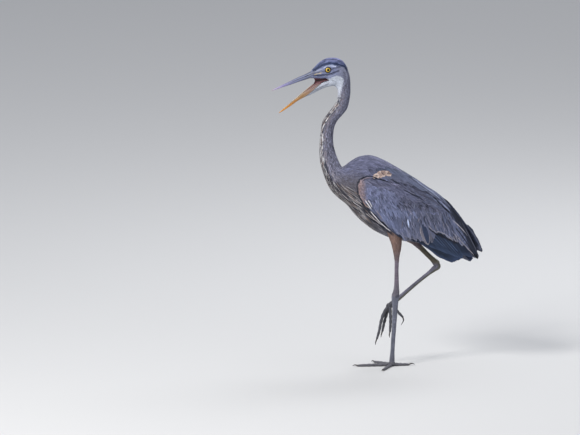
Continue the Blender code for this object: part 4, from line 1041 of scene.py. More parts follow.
def coat_wing(side):
    surf = WING_L if side == "left" else WING_R
    turn = (lambda a: a) if side == "left" else far
    sign = -1.0 if side == "left" else 1.0
    big, small = Coat(), Coat()

    def lay(coat, *args, **kw):
        lay_on(surf, coat, turn, *args, **kw)

    def ok(xz):
        return surf.clear(turn(xz))

    # flight feathers, lowest first
    n = 9
    r, t = row([(14, 440), (42, 424), (70, 412)], [(158, 331), (184, 318), (207, 331)], n)
    lay(big, r, t, 8.0, 8, 5, "strap", -5.8, 1.2, hue((0.010, 0.018, 0.040), n, 8, 5, (0.044, 0.070, 0.150), 0.75, jitter=0.18), tilt=0.7 * sign)
    n = 12
    r, t = row([(40, 450), (72, 450), (104, 448), (140, 446)], [(132, 364), (160, 352), (184, 343), (214, 332)], n)
    lay(big, r, t, 9.0, 8, 5, "strap", -5.0, 1.8, hue((0.013, 0.023, 0.050), n, 8, 5, (0.056, 0.086, 0.170), 0.75, jitter=0.22, root_dark=0.5), tilt=0.7 * sign)
    n = 13
    r, t = row([(136, 500), (153, 491), (167, 482), (182, 471)], [(217, 384), (239, 350), (252.5, 335.5), (256.5, 330.5)], n)
    deep = mix((0.122, 0.142, 0.238), (0.020, 0.025, 0.046), ramp(np.linspace(0, 1, n), 0.35, 0.80))
    lay(big, r, t, np.linspace(11, 8, n), 8, 7, "strap", -3.2, 3.3, vane_colour(deep, 8, 7, edge=(0.21, 0.22, 0.29), edge_amt=0.70, jitter=0.14, edge_from=0.20, edge_pow=10), tilt=0.35 * sign, camber=0.13)
    n = 12
    r, t = row([(92, 493), (130, 485), (156, 478), (178, 466)], [(118, 418), (157, 400), (182, 384), (206, 372)], n)
    lay(big, r + RNG.normal(0, 1.5, r.shape), t + RNG.normal(0, 2.5, t.shape), 10.5, 8, 7, "round", -3.2, 2.6,
        hue((0.130, 0.151, 0.256), n, 8, 7, (0.36, 0.37, 0.47), 0.85, jitter=0.18, shaft=(0.020, 0.022, 0.034), shaft_amt=0.7, root_dark=0.42, edge_pow=7), tilt=0.5 * sign, camber=0.12)
    n = 19
    r, t = row([(-52, 494), (-29, 487), (7, 482), (42, 479), (75, 476), (106, 473)], [(-4, 421), (17, 404), (39, 393), (63, 386), (86, 384), (119, 384)], n)
    sh = RNG.uniform(0.0, 0.5, n) * ramp(t[:, 0], 10, 40)
    fade = mix((0.126, 0.147, 0.250), (0.110, 0.122, 0.196), ramp(t[:, 0], 20, 75)) * (1 + 0.28 * value_noise(np.stack([t[:, 0], t[:, 1], t[:, 0] * 0], -1), 13.0, 65))[:, None]
    seen = 0.12 + 0.55 * ramp(t[:, 0], 44, 70)
    lay(big, r + RNG.normal(0, 2.5, r.shape), t + RNG.normal(0, 3.0, t.shape), RNG.uniform(7.0, 9.0, n), 8, 7, "round", -2.6, 2.5,
        vane_colour(fade, 8, 7, edge=(0.25, 0.25, 0.32), edge_amt=seen, shaft=(0.27, 0.25, 0.27), shaft_amt=sh * 0.8, jitter=0.15, root_dark=0.40, edge_pow=7), tilt=0.8 * sign)
    n = 20
    r, t = row([(-46, 500), (-22, 494), (12, 490), (46, 487), (80, 484), (112, 480)], [(-6, 434), (20, 417), (46, 406), (74, 398), (100, 396), (128, 396)], n)
    blue = mix((0.130, 0.152, 0.260), (0.114, 0.127, 0.205), ramp(t[:, 0], 20, 75)) * (1 + 0.24 * value_noise(np.stack([t[:, 0], t[:, 1], t[:, 0] * 0], -1), 13.0, 66))[:, None]
    lay(big, r + RNG.normal(0, 2.5, r.shape), t + RNG.normal(0, 4.0, t.shape), RNG.uniform(7.5, 9.5, n), 8, 7, "round", -2.1, 2.3,
        vane_colour(blue, 8, 7, edge=(0.21, 0.22, 0.30), edge_amt=0.1 + 0.3 * ramp(t[:, 0], 50, 90), jitter=0.12, root_dark=0.44, edge_pow=7), tilt=0.7 * sign)
    lay(big, [(97, 443)], [(111.5, 375)], 10.5, 8, 7, "round", -0.6, 2.2, hue((0.024, 0.036, 0.078), 1, 8, 7, (0.38, 0.36, 0.40), 0.95, edge_from=0.05, edge_pow=9), tilt=0.5 * sign)
    lay(big, [(87, 430)], [(107, 377)], 6.2, 8, 7, "round", 0.2, 2.0, hue((0.150, 0.144, 0.184), 1, 8, 7, (0.34, 0.32, 0.36), 0.9, edge_from=0.1, edge_pow=8), tilt=0.5 * sign)
    n = 26
    r, t = row([(-70, 529), (-29, 517), (16, 512), (66, 503), (118, 491)], [(-46, 479), (-5, 463), (39, 456), (89, 450), (148, 438)], n)
    blue = mix((0.124, 0.145, 0.246), (0.106, 0.116, 0.182), ramp(t[:, 0], 60, 110)) * (1 + 0.26 * value_noise(np.stack([t[:, 0], t[:, 1], t[:, 0] * 0], -1), 11.0, 67))[:, None]
    lay(big, r + RNG.normal(0, 2.5, r.shape), t + RNG.normal(0, 5.5, t.shape), 7.8, 6, 5, "round", -1.9, 1.7,
        vane_colour(blue, 6, 5, edge=(0.175, 0.19, 0.28), edge_amt=RNG.uniform(0.1, 0.6, n), jitter=0.12, root_dark=0.44), tilt=0.5 * sign)
    n = 38
    r, t = row([(-76, 543), (-29, 535), (16, 530), (66, 520), (128, 503)], [(-58, 500), (-12, 490), (36, 482), (88, 474), (154, 460)], n)
    blue = mix((0.120, 0.140, 0.238), (0.084, 0.089, 0.138), ramp(t[:, 0], 20, 60)) * (1 + 0.28 * value_noise(np.stack([t[:, 0], t[:, 1], t[:, 0] * 0], -1), 10.0, 68))[:, None]
    lay(big, r + RNG.normal(0, 2.5, r.shape), t + RNG.normal(0, 6.0, t.shape), 6.4, 5, 5, "round", -1.6, 1.7,
        vane_colour(blue, 5, 5, edge=(0.165, 0.180, 0.265), edge_amt=RNG.uniform(0.1, 0.6, n), jitter=0.13, root_dark=0.42), tilt=0.4 * sign)

    runs(lay, big, [([(190, 424), (200, 412), (214, 392), (229, 368), (240, 351), (248, 339)], 6, 40, 1.5, (0.014, 0.016, 0.028), 1.4),
                    ([(180, 446), (196, 434), (200, 430), (217, 408), (233.5, 388), (244, 370), (252, 353), (255, 338)], 8, 36, 1.0, (0.440, 0.430, 0.500), 2.0),
                    ([(184, 408), (211, 379), (230, 356.5), (246, 341)], 5, 36, 0.85, (0.380, 0.370, 0.430), 2.0),
                    ([(206, 428), (222, 408), (238, 388), (248, 370), (253, 355)], 4, 38, 1.3, (0.014, 0.016, 0.030), 1.9)], ok)

    # more of the folded primaries, behind the tertials
    n = 8
    r, t = row([(120, 430), (150, 430), (176, 428)], [(222, 344), (236, 338), (246, 336)], n)
    lay(big, r, t, 8.0, 8, 5, "strap", -5.6, 0.9, hue((0.013, 0.022, 0.048), n, 8, 5, (0.050, 0.072, 0.140), 0.7, jitter=0.15), tilt=0.35 * sign, camber=0.10)

    r, t = row([(228, 364), (238, 356), (246, 349), (250, 344)], [(245, 333), (249.5, 330.5), (254, 329.5), (256.5, 331.5)], 7)
    lay(big, r, t, 3.3, 6, 5, "ovate", -0.6, 0.8, hue((0.030, 0.035, 0.058), 7, 6, 5, (0.19, 0.19, 0.26), 0.6, jitter=0.14), camber=0.16)

    # lesser coverts, in staggered rows
    xs, zs = [], []
    for i, z in enumerate(np.arange(462, 586, 4.6)):
        x = np.arange(-98, 162, 5.2) + (i % 2) * 2.6
        xs.append(x); zs.append(np.full_like(x, z))
    x, z = np.concatenate(xs), np.concatenate(zs)
    x, z = x + RNG.normal(0, 1.0, len(x)), z + RNG.normal(0, 1.0, len(x))
    m = inside(LESSER, x, z)
    if side == "right":
        up = turn(np.stack([x, z + 9.0], -1))
        m &= surf.clear(up)
    x, z = x[m], z[m]
    ang = np.radians(np.interp(x, [-90, -40, 20, 80, 150], [-80, -68, -46, -30, -32])) + RNG.normal(0, 0.12, len(x))
    ln = np.interp(x, [-90, -50, 0, 150], [11, 16, 20, 24]) * RNG.uniform(0.8, 1.15, len(x))
    wd = np.interp(x, [-90, -50, 0, 150], [2.9, 3.8, 4.4, 4.8]) * RNG.uniform(0.85, 1.1, len(x))
    q3 = np.stack([x, z, z * 0], -1)
    brown = ramp(x, -5, 30) * ramp(z, 474, 494)
    base = mix((0.141, 0.157, 0.266), (0.056, 0.060, 0.098), brown * 0.9)
    base = base * (1 + 0.38 * value_noise(q3, 10.0, 61) + 0.24 * value_noise(q3, 5.0, 62))[:, None]
    carp = ramp(-x, 66, 84) * ramp(z, 500, 515)
    base = mix(base, (0.270, 0.205, 0.225), carp * 0.85)
    tip = np.stack([x + np.cos(ang) * ln, z + np.sin(ang) * ln], -1)
    edge_a = RNG.uniform(0.0, 0.6, len(x)) * (1 - 0.4 * brown)
    lay(small, np.stack([x, z], -1), tip, wd, 5, 3, "ovate", -1.4, 1.9, vane_colour(base, 5, 3, edge=(0.200, 0.212, 0.305), edge_amt=edge_a, jitter=0.13, root_dark=0.34))

    r, t = row([(-74, 559), (-64, 558), (-54, 560)], [(-68, 546), (-58, 544), (-48, 546)], 7, 0.8)
    lay(small, r, t, 3.4, 5, 3, "ovate", -0.9, 1.2, hue((0.122, 0.130, 0.206), 7, 5, 3, jitter=0.12, root_dark=0.6))
    # marginal coverts over the bend and down the leading edge
    lead = np.asarray(LEAD, float)
    d = np.concatenate([[0], np.cumsum(np.hypot(*np.diff(lead, axis=0).T))])
    rows = []
    for k in range(9):
        q = np.arange(0, d[-1] * 0.97, 2.9) + 1.45 * (k % 2)
        e = np.stack([np.interp(q, d, lead[:, 0]), np.interp(q, d, lead[:, 1])], -1)
        tan = unit(np.gradient(e, axis=0))
        nor = np.stack([-tan[:, 1], tan[:, 0]], -1)
        rows.append(np.concatenate([e + nor * (0.2 + 2.3 * k) + RNG.normal(0, 0.5, e.shape), tan, nor, q[:, None], np.full((len(q), 1), k)], 1))
    rows = np.concatenate(rows)
    e, tan, nor, q, k = rows[:, 0:2], rows[:, 2:4], rows[:, 4:6], rows[:, 6], rows[:, 7]
    go = unit(tan * np.interp(q, [0, 40, 90, 200], [0.5, 0.8, 1.0, 1.0])[:, None] + nor * np.interp(q, [0, 40, 90, 200], [0.9, 0.75, 0.28, 0.16])[:, None])
    ln = np.interp(q, [0, 60, 110, 210], [7, 8, 13, 24]) * RNG.uniform(0.85, 1.15, len(q))
    wd = np.interp(q, [0, 60, 110, 210], [1.7, 1.9, 2.3, 2.9])
    lilac = (1 - ramp(q, 74, 96)) * ramp(q, 8, 20) * (1 - ramp(k, 5.2, 7.5))
    base = mix((0.108, 0.116, 0.182), (0.300, 0.222, 0.232), lilac)
    base = base * (1 + 0.25 * value_noise(np.stack([e[:, 0], e[:, 1], q * 0], -1), 5.0, 63))[:, None]
    blotch = value_noise(np.stack([e[:, 0], e[:, 1], q * 0 + 9], -1), 4.2, 64)
    zone = ramp(q, 62, 72) * (1 - ramp(q, 108, 120)) * (1 - ramp(k, 4.5, 6.5))
    base = mix(base, (0.52, 0.44, 0.42), zone * (blotch > 0.15) * 0.8)
    base = mix(base, (0.030, 0.030, 0.046), zone * (blotch < -0.20) * 0.85)
    lay(small, e, e + go * ln[:, None], wd, 4, 3, "ovate", -2.6, 2.9, vane_colour(base, 4, 3, jitter=0.10, root_dark=0.5))

    # plumes along the lower front edge: white lines between dark ones
    def edge_line(offset, n, length, width, colour, base_h, q0, q1, rise=1.4, wander=0.5):
        q = np.linspace(q0, q1, n)
        e = np.stack([np.interp(q, d, lead[:, 0]), np.interp(q, d, lead[:, 1])], -1)
        e2 = np.stack([np.interp(q + 6, d, lead[:, 0]), np.interp(q + 6, d, lead[:, 1])], -1)
        tan = unit(e2 - e)
        nor = np.stack([-tan[:, 1], tan[:, 0]], -1)
        a = e + nor * (offset + RNG.normal(0, wander, (n, 1)))
        ln = length * RNG.uniform(0.8, 1.2, n)
        lay(big, a, a + (tan + nor * 0.02) * ln[:, None], width, 6, 3, "lance", base_h, rise,
            vane_colour(np.broadcast_to(np.asarray(colour, float), (n, 3)), 6, 3, jitter=0.12, root_dark=0.8))

    edge_line(-9.0, 9, 34, 2.0, (0.026, 0.028, 0.042), -5.2, 84, 190)
    edge_line(-4.4, 11, 32, 1.9, (0.022, 0.024, 0.038), -2.6, 88, 192)
    edge_line(-3.2, 14, 13, 1.4, (0.024, 0.025, 0.040), -1.4, 6, 88, wander=0.3)
    edge_line(2.2, 11, 30, 1.8, (0.036, 0.040, 0.064), -0.8, 92, 200)
    edge_line(8.0, 7, 30, 1.6, (0.100, 0.110, 0.176), -0.4, 96, 190)
    # lines where the wing meets the breast; the near-black ones are painted shadow
    runs(lay, big, WING_LINES)

    # vanes that stand out, and borders that run over several of them
    for a, b, w, c in STREAKS:
        if ok(np.asarray([a], float))[0] and ok(np.asarray([b], float))[0]:
            h = 1.3 if (a[0] > 92 and a[1] < 475) or sum(c) > 1.0 else 0.6
            around = mix((0.125, 0.143, 0.240), (0.110, 0.118, 0.180), ramp(np.asarray(a[0], float), 20, 75))
            lay(big, [a], [b], w * 0.68, 6, 3, "lance", h, 0.6, hue(mix(np.asarray(c, float), around, 0.34), 1, 6, 3, root_dark=0.8, jitter=0.08), camber=0.22)
    lay(big, [(51.5, 452)], [(56.5, 425)], 3.0, 6, 3, "lance", 2.0, 0.7, hue((0.560, 0.640, 0.900), 1, 6, 3, root_dark=0.8, jitter=0.02), camber=0.22)
    # painted shade in the gaps between the flight feathers, pale rims beside them, and painted shade under the
    # tertials' border
    kept = RNG.bit_generator.state
    r, t = row([(52, 438), (84, 432), (118, 424), (150, 412)], [(136, 362), (164, 350), (188, 342), (212, 334)], 9, 1.2)
    lay(big, r, t, 1.4, 8, 3, "lance", -2.5, 1.1, hue((0.004, 0.006, 0.013), 9, 8, 3, jitter=0.1), camber=0.2)
    r, t = row([(60, 436), (92, 430), (124, 421), (152, 408)], [(142, 360), (170, 350), (194, 342), (214, 336)], 8, 1.2)
    lay(big, r, t, 0.9, 8, 3, "lance", -2.4, 1.1, hue((0.085, 0.125, 0.240), 8, 8, 3, jitter=0.15), camber=0.2)
    r, t = row([(112, 420), (150, 404), (184, 386)], [(128, 407), (166, 391), (198, 373)], 16, 1.5)
    lay(big, r, t, 2.2, 6, 3, "ovate", -2.7, 0.9, hue((0.006, 0.009, 0.019), 16, 6, 3, jitter=0.2), camber=0.15)
    RNG.bit_generator.state = kept
    # many more, fainter, in among the coverts
    n = 520
    x, z = RNG.uniform(-64, 206, n), RNG.uniform(392, 556, n)
    upper = np.radians(np.interp(x, [-90, -40, 20, 80, 150], [-78, -66, -46, -32, -34]))
    lower = np.radians(np.interp(x, [-40, 20, 80, 120, 160, 200], [-62, -64, -78, -76, -70, -64]))
    ang = np.where(z > 486, upper, lower) + RNG.normal(0, 0.09, n)
    ln = RNG.uniform(11, 22, n) * np.where(z > 486, 0.75, 1.0)
    e = np.stack([x + np.cos(ang) * ln, z + np.sin(ang) * ln], -1)
    low = np.interp(e[:, 0], [-60, -28, 0, 18, 40, 60, 86, 112, 141, 160, 176, 200, 214], [492, 456, 432, 412, 400, 394, 393, 424, 412, 408, 398, 378, 366])
    m = ok(np.stack([x, z], -1)) & ok(e) & (e[:, 1] > low) & (z < np.interp(x, [-64, -30, 60, 120, 206], [530, 552, 536, 506, 452]))
    x, z, e, ln = x[m], z[m], e[m], ln[m]
    n = len(x)
    around = mix((0.125, 0.143, 0.240), (0.108, 0.116, 0.178), ramp(x, 20, 75))
    around = mix(around, (0.070, 0.073, 0.114), (ramp(x, -5, 30) * ramp(z, 474, 494) * 0.9))
    gain = np.where(RNG.uniform(0, 1, n) < 0.55, RNG.uniform(1.40, 2.35, n), RNG.uniform(0.20, 0.55, n))
    tint = np.where((gain > 1)[:, None], np.array([1.04, 1.0, 0.96]), np.array([0.96, 1.0, 1.04]))
    lay(small, np.stack([x, z], -1), e, RNG.uniform(0.7, 1.5, n), 5, 3, "lance", np.where(z < 470, 0.1, 0.4) + RNG.uniform(0, 0.3, n), 0.8,
        vane_colour(around * gain[:, None] * tint, 5, 3, jitter=0.10, root_dark=0.8), camber=0.22)
    # borders and gaps over several vanes; the near-black gaps are painted shade
    runs(lay, big, WING_SEAMS, ok)

    # the inner face, which shows where a wing stands clear of the body
    under = WING_L_IN if side == "left" else WING_R_IN
    face = Coat()

    def lay_in(r, t, width, shape, base, rise, colour, **kw):
        lay_on(under, face, turn, r, t, width, 8, 5, shape, base, rise, colour, thin=0.2, **kw)

    n = 10
    r, t = row([(150, 496), (166, 484), (178, 473), (190, 455)], [(200, 420), (226, 380), (246, 352), (254, 337)], n)
    lay_in(r, t, 8.5, "strap", 0.1, 0.5, hue((0.036, 0.044, 0.078), n, 8, 5, (0.200, 0.220, 0.320), 0.85, jitter=0.15, edge_from=0.1), tilt=0.3 * sign)
    n = 12
    r, t = row([(70, 408), (110, 412), (150, 420), (180, 440)], [(158, 333), (184, 321), (208, 333), (248, 345)], n)
    lay_in(r, t, 8.5, "strap", 0.1, 0.5, hue((0.030, 0.034, 0.052), n, 8, 5, (0.080, 0.090, 0.130), 0.6, jitter=0.12), tilt=0.3 * sign)
    n = 14
    r, t = row([(96, 520), (130, 508), (160, 488), (184, 462)], [(126, 500), (166, 470), (198, 436), (216, 404)], n)
    lay_in(r, t, 7.0, "round", 0.5, 0.7, hue((0.088, 0.100, 0.160), n, 8, 5, (0.230, 0.245, 0.340), 0.7, jitter=0.12))
    face.build("coat_wing_inner_" + side, FLIGHT, "wing_plumage")

    big.build("coat_wing_" + side, FLIGHT, "wing_plumage")
    small.build("coat_wing_small_" + side, FEATHER, "wing_plumage")


# ------------------------------------------------------------------ scapulars, long plumes and tail
ENV_P = ENV_S.p


def env_uv(x, z, side):
    pts = ENV_P.reshape(-1, 3)
    ok = pts[:, 1] * side >= -1
    out = []
    for a, b in zip(x, z):
        d = np.where(ok, (pts[:, 0] - a) ** 2 + (pts[:, 2] - b) ** 2, 1e9)
        i = int(d.argmin())
        out.append((ENV_S.u[i // 96], (i % 96) / 96.0))
    u, v = np.array(out).T
    want = np.stack([np.asarray(x, float), np.asarray(z, float)], -1)
    for _ in range(3):
        p, _, pu, pv = ENV_S.at(u, v)
        e = want - p[:, [0, 2]]
        det = pu[:, 0] * pv[:, 2] - pu[:, 2] * pv[:, 0]
        ok = np.abs(det) > 25.0
        det = np.where(ok, det, 1.0)
        u = u + np.where(ok, np.clip((e[:, 0] * pv[:, 2] - e[:, 1] * pv[:, 0]) / det, -0.12, 0.12), 0)
        v = v + np.where(ok, np.clip((e[:, 1] * pu[:, 0] - e[:, 0] * pu[:, 2]) / det, -0.012, 0.012), 0)
    return u, v


PATCH = [(-50, 571), (-49.5, 579.5), (-40, 584.5), (-35, 588), (-28, 591), (-20, 589.5), (-9, 589), (-1, 581), (-2, 576), (-9, 575.5), (-17, 579),
         (-20, 575.5), (-28, 573.5), (-37, 571)]


def coat_scapulars():
    coat = Coat()
    for side in (-1.0, 1.0):
        def lay(r, t, width, steps, cols, shape, base, rise, colour, **kw):
            r, t = np.asarray(r, float), np.asarray(t, float)
            u, v = env_uv(r[:, 0], r[:, 1], side)
            p, nn, pu, _ = ENV_S.at(u, v)
            tt = unit(pu)
            want = np.stack([t[:, 0] - p[:, 0], np.zeros(len(r)), t[:, 1] - p[:, 2]], -1)
            ln = np.linalg.norm(want, axis=-1)
            want = unit(want)
            ang = np.arctan2((want * np.cross(nn, tt)).sum(-1), (want * tt).sum(-1))
            pts = grow(ENV_S, u, v, ln, width, steps=steps, cols=cols, shape=shape, angle=ang, base=base, rise=rise, **kw)
            coat.add(pts, colour, ln, width, (0.02 + 0.96 * (u - 17) / 15, v))

        # scapulars over the wing's upper edge, in rows of narrow vanes
        for k, (dz, wd, n, shade) in enumerate(((-10, 6.0, 24, 0.80), (0, 6.2, 26, 0.95), (11, 6.2, 26, 1.0), (21, 6.0, 26, 1.0))):
            r, t = row([(-66, 574 + dz), (-20, 580 + dz), (40, 562 + dz), (105, 530 + dz)], [(-40, 556 + dz), (22, 553 + dz), (88, 530 + dz), (156, 494 + dz * 0.8)], n, 2.0)
            base = mix((0.080, 0.082, 0.128), (0.096, 0.112, 0.182), k / 3)
            base = mix(np.array(MANTLE) * 0.85, base, ramp(r[:, 0], -64, -34))
            base = base * (1 + 0.2 * value_noise(np.stack([r[:, 0], r[:, 1], r[:, 0] * 0], -1), 20.0, 71))[:, None]
            lay(r, t, wd, 6, 3, "ovate", -1.2 + 0.35 * k, 1.5, vane_colour(base * shade, 6, 3, edge=(0.180, 0.195, 0.290), edge_amt=RNG.uniform(0.1, 0.6, n), jitter=0.12, root_dark=0.45), camber=0.16, ragged=0.03)
        # shoulder patch, broken by dark gaps of painted shade, with a painted shadow line beneath it
        x = RNG.uniform(-56, -3, 1500)
        z = RNG.uniform(568, 594, 1500)
        m = inside(PATCH, x + 3.0, z - 0.4)
        x, z = x[m], z[m]
        n = len(x)
        r = np.stack([x, z], -1)
        t = r + np.stack([RNG.uniform(5, 7.5, n), RNG.uniform(-1.8, 1.0, n)], -1)
        tone = value_noise(np.stack([x, z, x * 0], -1), 6.0, 72) + RNG.normal(0, 0.25, n)
        base = mix((0.330, 0.235, 0.205), (0.600, 0.480, 0.430), ramp(tone, -0.30, 0.50))
        gap_shade = np.maximum(stroke(x + 3, z, [(-30, 587), (-23, 580)], 1.2, 0.8), stroke(x + 3, z, [(-12, 583.5), (-3, 583)], 1.3, 0.8))
        gap_shade = np.maximum(gap_shade, stroke(x + 3, z, [(-44, 578.5), (-41, 577)], 1.2, 0.8))
        # painted shade in the gaps, and in a few scattered vanes
        base = mix(base, (0.040, 0.036, 0.050), np.clip(gap_shade * 0.95 + (RNG.uniform(0, 1, n) < 0.05), 0, 1))
        lay(r, t, 1.25, 4, 3, "ovate", 0.9 + 0.25 * RNG.uniform(-1, 1, n), 0.8, vane_colour(base, 4, 3, jitter=0.10, root_dark=0.6), ragged=0.05)
        # painted shadow: a near-black line beneath the shoulder patch, along the wing's top front
        r, t = row([(-56, 571), (-42, 571), (-26, 567)], [(-36, 569), (-14, 562.5), (-2, 560)], 11, 0.8)
        lay(r, t, 1.5, 6, 3, "lance", 1.3, 0.8, hue((0.018, 0.021, 0.036), 11, 6, 3, jitter=0.1))
        for k in range(3):
            r, t = row([(-5 + 9 * k, 567 - 6 * k), (-1 + 9 * k, 551 - 3 * k)], [(10 + 9 * k, 559 - 6 * k), (13 + 8 * k, 546 - 3 * k)], 9, 1.0)
            keep = RNG.uniform(0, 1, 9) < (0.75, 0.6, 0.45)[k]
            r, t = r[keep] + RNG.normal(0, 0.8, (int(keep.sum()), 2)), t[keep] + RNG.normal(0, 1.6, (int(keep.sum()), 2))
            lay(r, t, RNG.uniform(1.0, 1.6, len(r)), 6, 3, "lance", 1.0 + 0.12 * k, 0.7, hue((0.176, 0.178, 0.276), len(r), 6, 3, jitter=0.20, root_dark=0.45))
        r, t = row([(0, 567), (14, 560)], [(18, 557), (32, 549.5)], 5, 0.6)
        lay(r, t, 1.2, 6, 3, "lance", 1.9, 0.6, hue((0.020, 0.023, 0.040), 5, 6, 3, jitter=0.1))
        lay2 = lambda _, a, b, w, st, cl, shape, base, rise, colour, camber: lay(a, b, w, st, cl, shape, base, rise, colour, camber=camber)
        # lines along the wing's upper edge; the near-black one over the wing's front and the near-black one below the
        # long plumes are painted shadow
        runs(lay2, coat, [
            ([(-91, 552), (-87, 565), (-76, 575), (-61, 577), (-46, 573.5), (-37, 569)], 11, 11, 1.5, (0.018, 0.020, 0.034), 1.8),
            ([(-86, 558), (-80, 567.5), (-70, 571.5), (-58, 572)], 9, 9, 1.7, (0.215, 0.176, 0.216), 1.5),
            ([(48, 573), (69, 560)], 2, 17, 1.2, (0.030, 0.035, 0.060), 1.0),
            ([(92, 538), (116.5, 519), (131, 503), (150, 486)], 4, 26, 1.1, (0.210, 0.230, 0.330), 1.5),
            ([(119, 516), (140, 497), (160, 478), (181, 458)], 5, 28, 2.1, (0.008, 0.010, 0.018), 1.6),
            ([(58, 566), (83.3, 547.7), (107, 532), (123, 519), (139.6, 502.4), (159.3, 484.7), (178, 466.7)], 8, 30, 1.3, (0.300, 0.335, 0.490), 1.9),
            ([(137, 515), (150.4, 499), (165, 486), (178, 472)], 3, 26, 1.0, (0.270, 0.300, 0.440), 1.8),
            ([(142, 507), (156, 492), (172, 476)], 3, 26, 1.2, (0.030, 0.036, 0.066), 1.6)])
        # long narrow plumes that sweep back over the wing
        r, t = row([(8, 588), (24, 578), (42, 569), (60, 561), (84, 549)], [(190, 470), (204, 456), (198, 458), (180, 480), (146, 509)], 34, 3.0)
        n = len(r)
        pick = RNG.uniform(0, 1, n)[:, None]
        base = np.where(pick < 0.30, np.array([0.125, 0.145, 0.232]), np.where(pick < 0.8, np.array([0.092, 0.108, 0.176]), np.array([0.045, 0.052, 0.086])))
        lay(r, t, RNG.uniform(1.7, 3.0, n), 10, 3, "lance", 0.3, 1.6, vane_colour(base, 10, 3, jitter=0.12, edge=(0.22, 0.24, 0.34), edge_amt=RNG.uniform(0, 0.5, n)), camber=0.22, ragged=0.006)
        r, t = row([(62, 552), (96, 534), (128, 508), (156, 486)], [(128, 512), (164, 488), (196, 460), (222, 424)], 14, 1.5)
        lay(r, t, 1.7, 8, 3, "lance", 0.2, 1.2, hue((0.016, 0.019, 0.034), 14, 8, 3, jitter=0.1), camber=0.2)
        r, t = row([(70, 556), (100, 536), (134, 508), (158, 490)], [(130, 518), (160, 496), (192, 470), (214, 446)], 8, 1.0)
        lay(r, t, 0.9, 8, 3, "lance", 0.9, 0.9, hue((0.30, 0.32, 0.43), 8, 8, 3, jitter=0.15), camber=0.2)
        r, t = row([(36, 540), (60, 526), (82, 516)], [(62, 526), (84, 516), (104, 502)], 7, 2.0)
        lay(r, t, 1.6, 6, 3, "lance", 0.3, 0.9, hue((0.022, 0.026, 0.046), 7, 6, 3, jitter=0.1), camber=0.2)
        # rump and lower back, beside the tertials
        r, t = row([(100, 532), (135, 509), (158, 484), (174, 458)], [(158, 492), (186, 462), (204, 424), (214, 400)], 22, 2.0)
        lay(r, t, 5.0, 6, 3, "ovate", -1.9, 1.2, hue((0.094, 0.106, 0.172), 22, 6, 3, edge=(0.20, 0.22, 0.32), amt=0.4, jitter=0.13, root_dark=0.5))
    return coat.build("coat_scapulars", FEATHER, "plumage")


def coat_tail():
    coat = Coat()
    # the twelve tail feathers, in two shallow fans
    n = 12
    k = np.linspace(-1, 1, n)
    order = np.abs(k)
    root = np.stack([np.full(n, 196.0) - 3 * order, 7.0 * k, 372.0 - 6 * order], -1)
    tip = np.stack([236.5 - 2.5 * order, 9.0 * k, 323.5 - 2.5 * order], -1)
    along = unit(tip - root)
    across = np.array([0.0, 1.0, 0.0])
    ln = np.linalg.norm(tip - root, axis=1)
    ts = np.array(TS[8])
    ms = np.linspace(-1, 1, 5)
    out = np.zeros((n, 9, 5, 3))
    nrm = unit(np.cross(along, across))
    nrm = nrm * np.sign(nrm[:, 2:3])
    for a, t in enumerate(ts):
        hw = 6.2 * profile("strap", t)
        for b, m in enumerate(ms):
            lift = (1 - order) * 5.0 + 0.25 * hw * (1 - m * m) - 0.5 * abs(m) * 2
            out[:, a, b] = root + along * (ln * t)[:, None] + across * (hw * m) + nrm * lift[:, None]
    c = vane_colour(np.broadcast_to(np.array([0.020, 0.032, 0.066]), (n, 3)), 8, 5, edge=(0.085, 0.105, 0.190), edge_amt=0.7, jitter=0.10)
    coat.add(out, c, ln, 6.2, (0.5 + 0.4 * k, np.full(n, 0.9)))

    def keep(p, u, v):
        return np.cos(2 * np.pi * v) > -2

    u, v = scatter(TAIL_S, 0.0, 1.9, 5.0, keep=keep)
    cd = np.cos(2 * np.pi * v)
    ln = RNG.uniform(22, 34, len(u)) * np.interp(u, [0, 1.9], [1, 0.8])
    pts = grow(TAIL_S, u, v, ln, 4.6, steps=5, cols=3, base=-1.6, rise=2.2, camber=0.22, angle=RNG.normal(0, 0.08, len(u)), ragged=0.03)
    base = mix((0.090, 0.095, 0.130), (0.036, 0.050, 0.094), ramp(cd, -0.5, 0.1))
    coat.add(pts, vane_colour(base, 5, 3, edge=(0.15, 0.17, 0.26), edge_amt=0.35, jitter=0.12, root_dark=0.5), ln, 4.6, (0.03 + 0.9 * u / 6, v * 0.8))
    # tail coverts that cross from the body
    u, v = scatter(BODY_S, 29.2, 31.9, 5.0)
    ln = RNG.uniform(24, 32, len(u))
    pts = grow(BODY_S, u, v, ln, 4.8, steps=5, cols=3, base=-1.8, rise=1.8, camber=0.22, angle=RNG.normal(0, 0.08, len(u)), ragged=0.03)
    coat.add(pts, vane_colour(paint_trunk(BODY_S.at(u, v)[0], u, v), 5, 3, edge=(0.24, 0.26, 0.35), edge_amt=0.35), ln, 4.8, (0.36 + 0.3 * (u - 29) / 3, v * 0.8))
    return coat.build("coat_tail", FEATHER, "tail_plumage")


# ------------------------------------------------------------------ limbs
def limb_frames(table, steps):
    s = np.linspace(0, len(table) - 1, steps)
    r = cr(table, s)
    c = r[:, :3]
    t = unit(np.gradient(c, axis=0))
    a = np.array([0.0, 1.0, 0.0]) - t * t[:, 1:2]
    a = unit(a)
    return s, c, t, np.cross(t, a), a, r[:, 3], r[:, 4]


def limb_points(table, steps, count, grow_by=0.0):
    s, c, t, d, a, p, q = limb_frames(table, steps)
    f = np.arange(count) * 2 * math.pi / count
    return s, c[:, None] + d[:, None] * ((p + grow_by)[:, None] * np.cos(f))[..., None] + a[:, None] * ((q + grow_by)[:, None] * np.sin(f))[..., None]


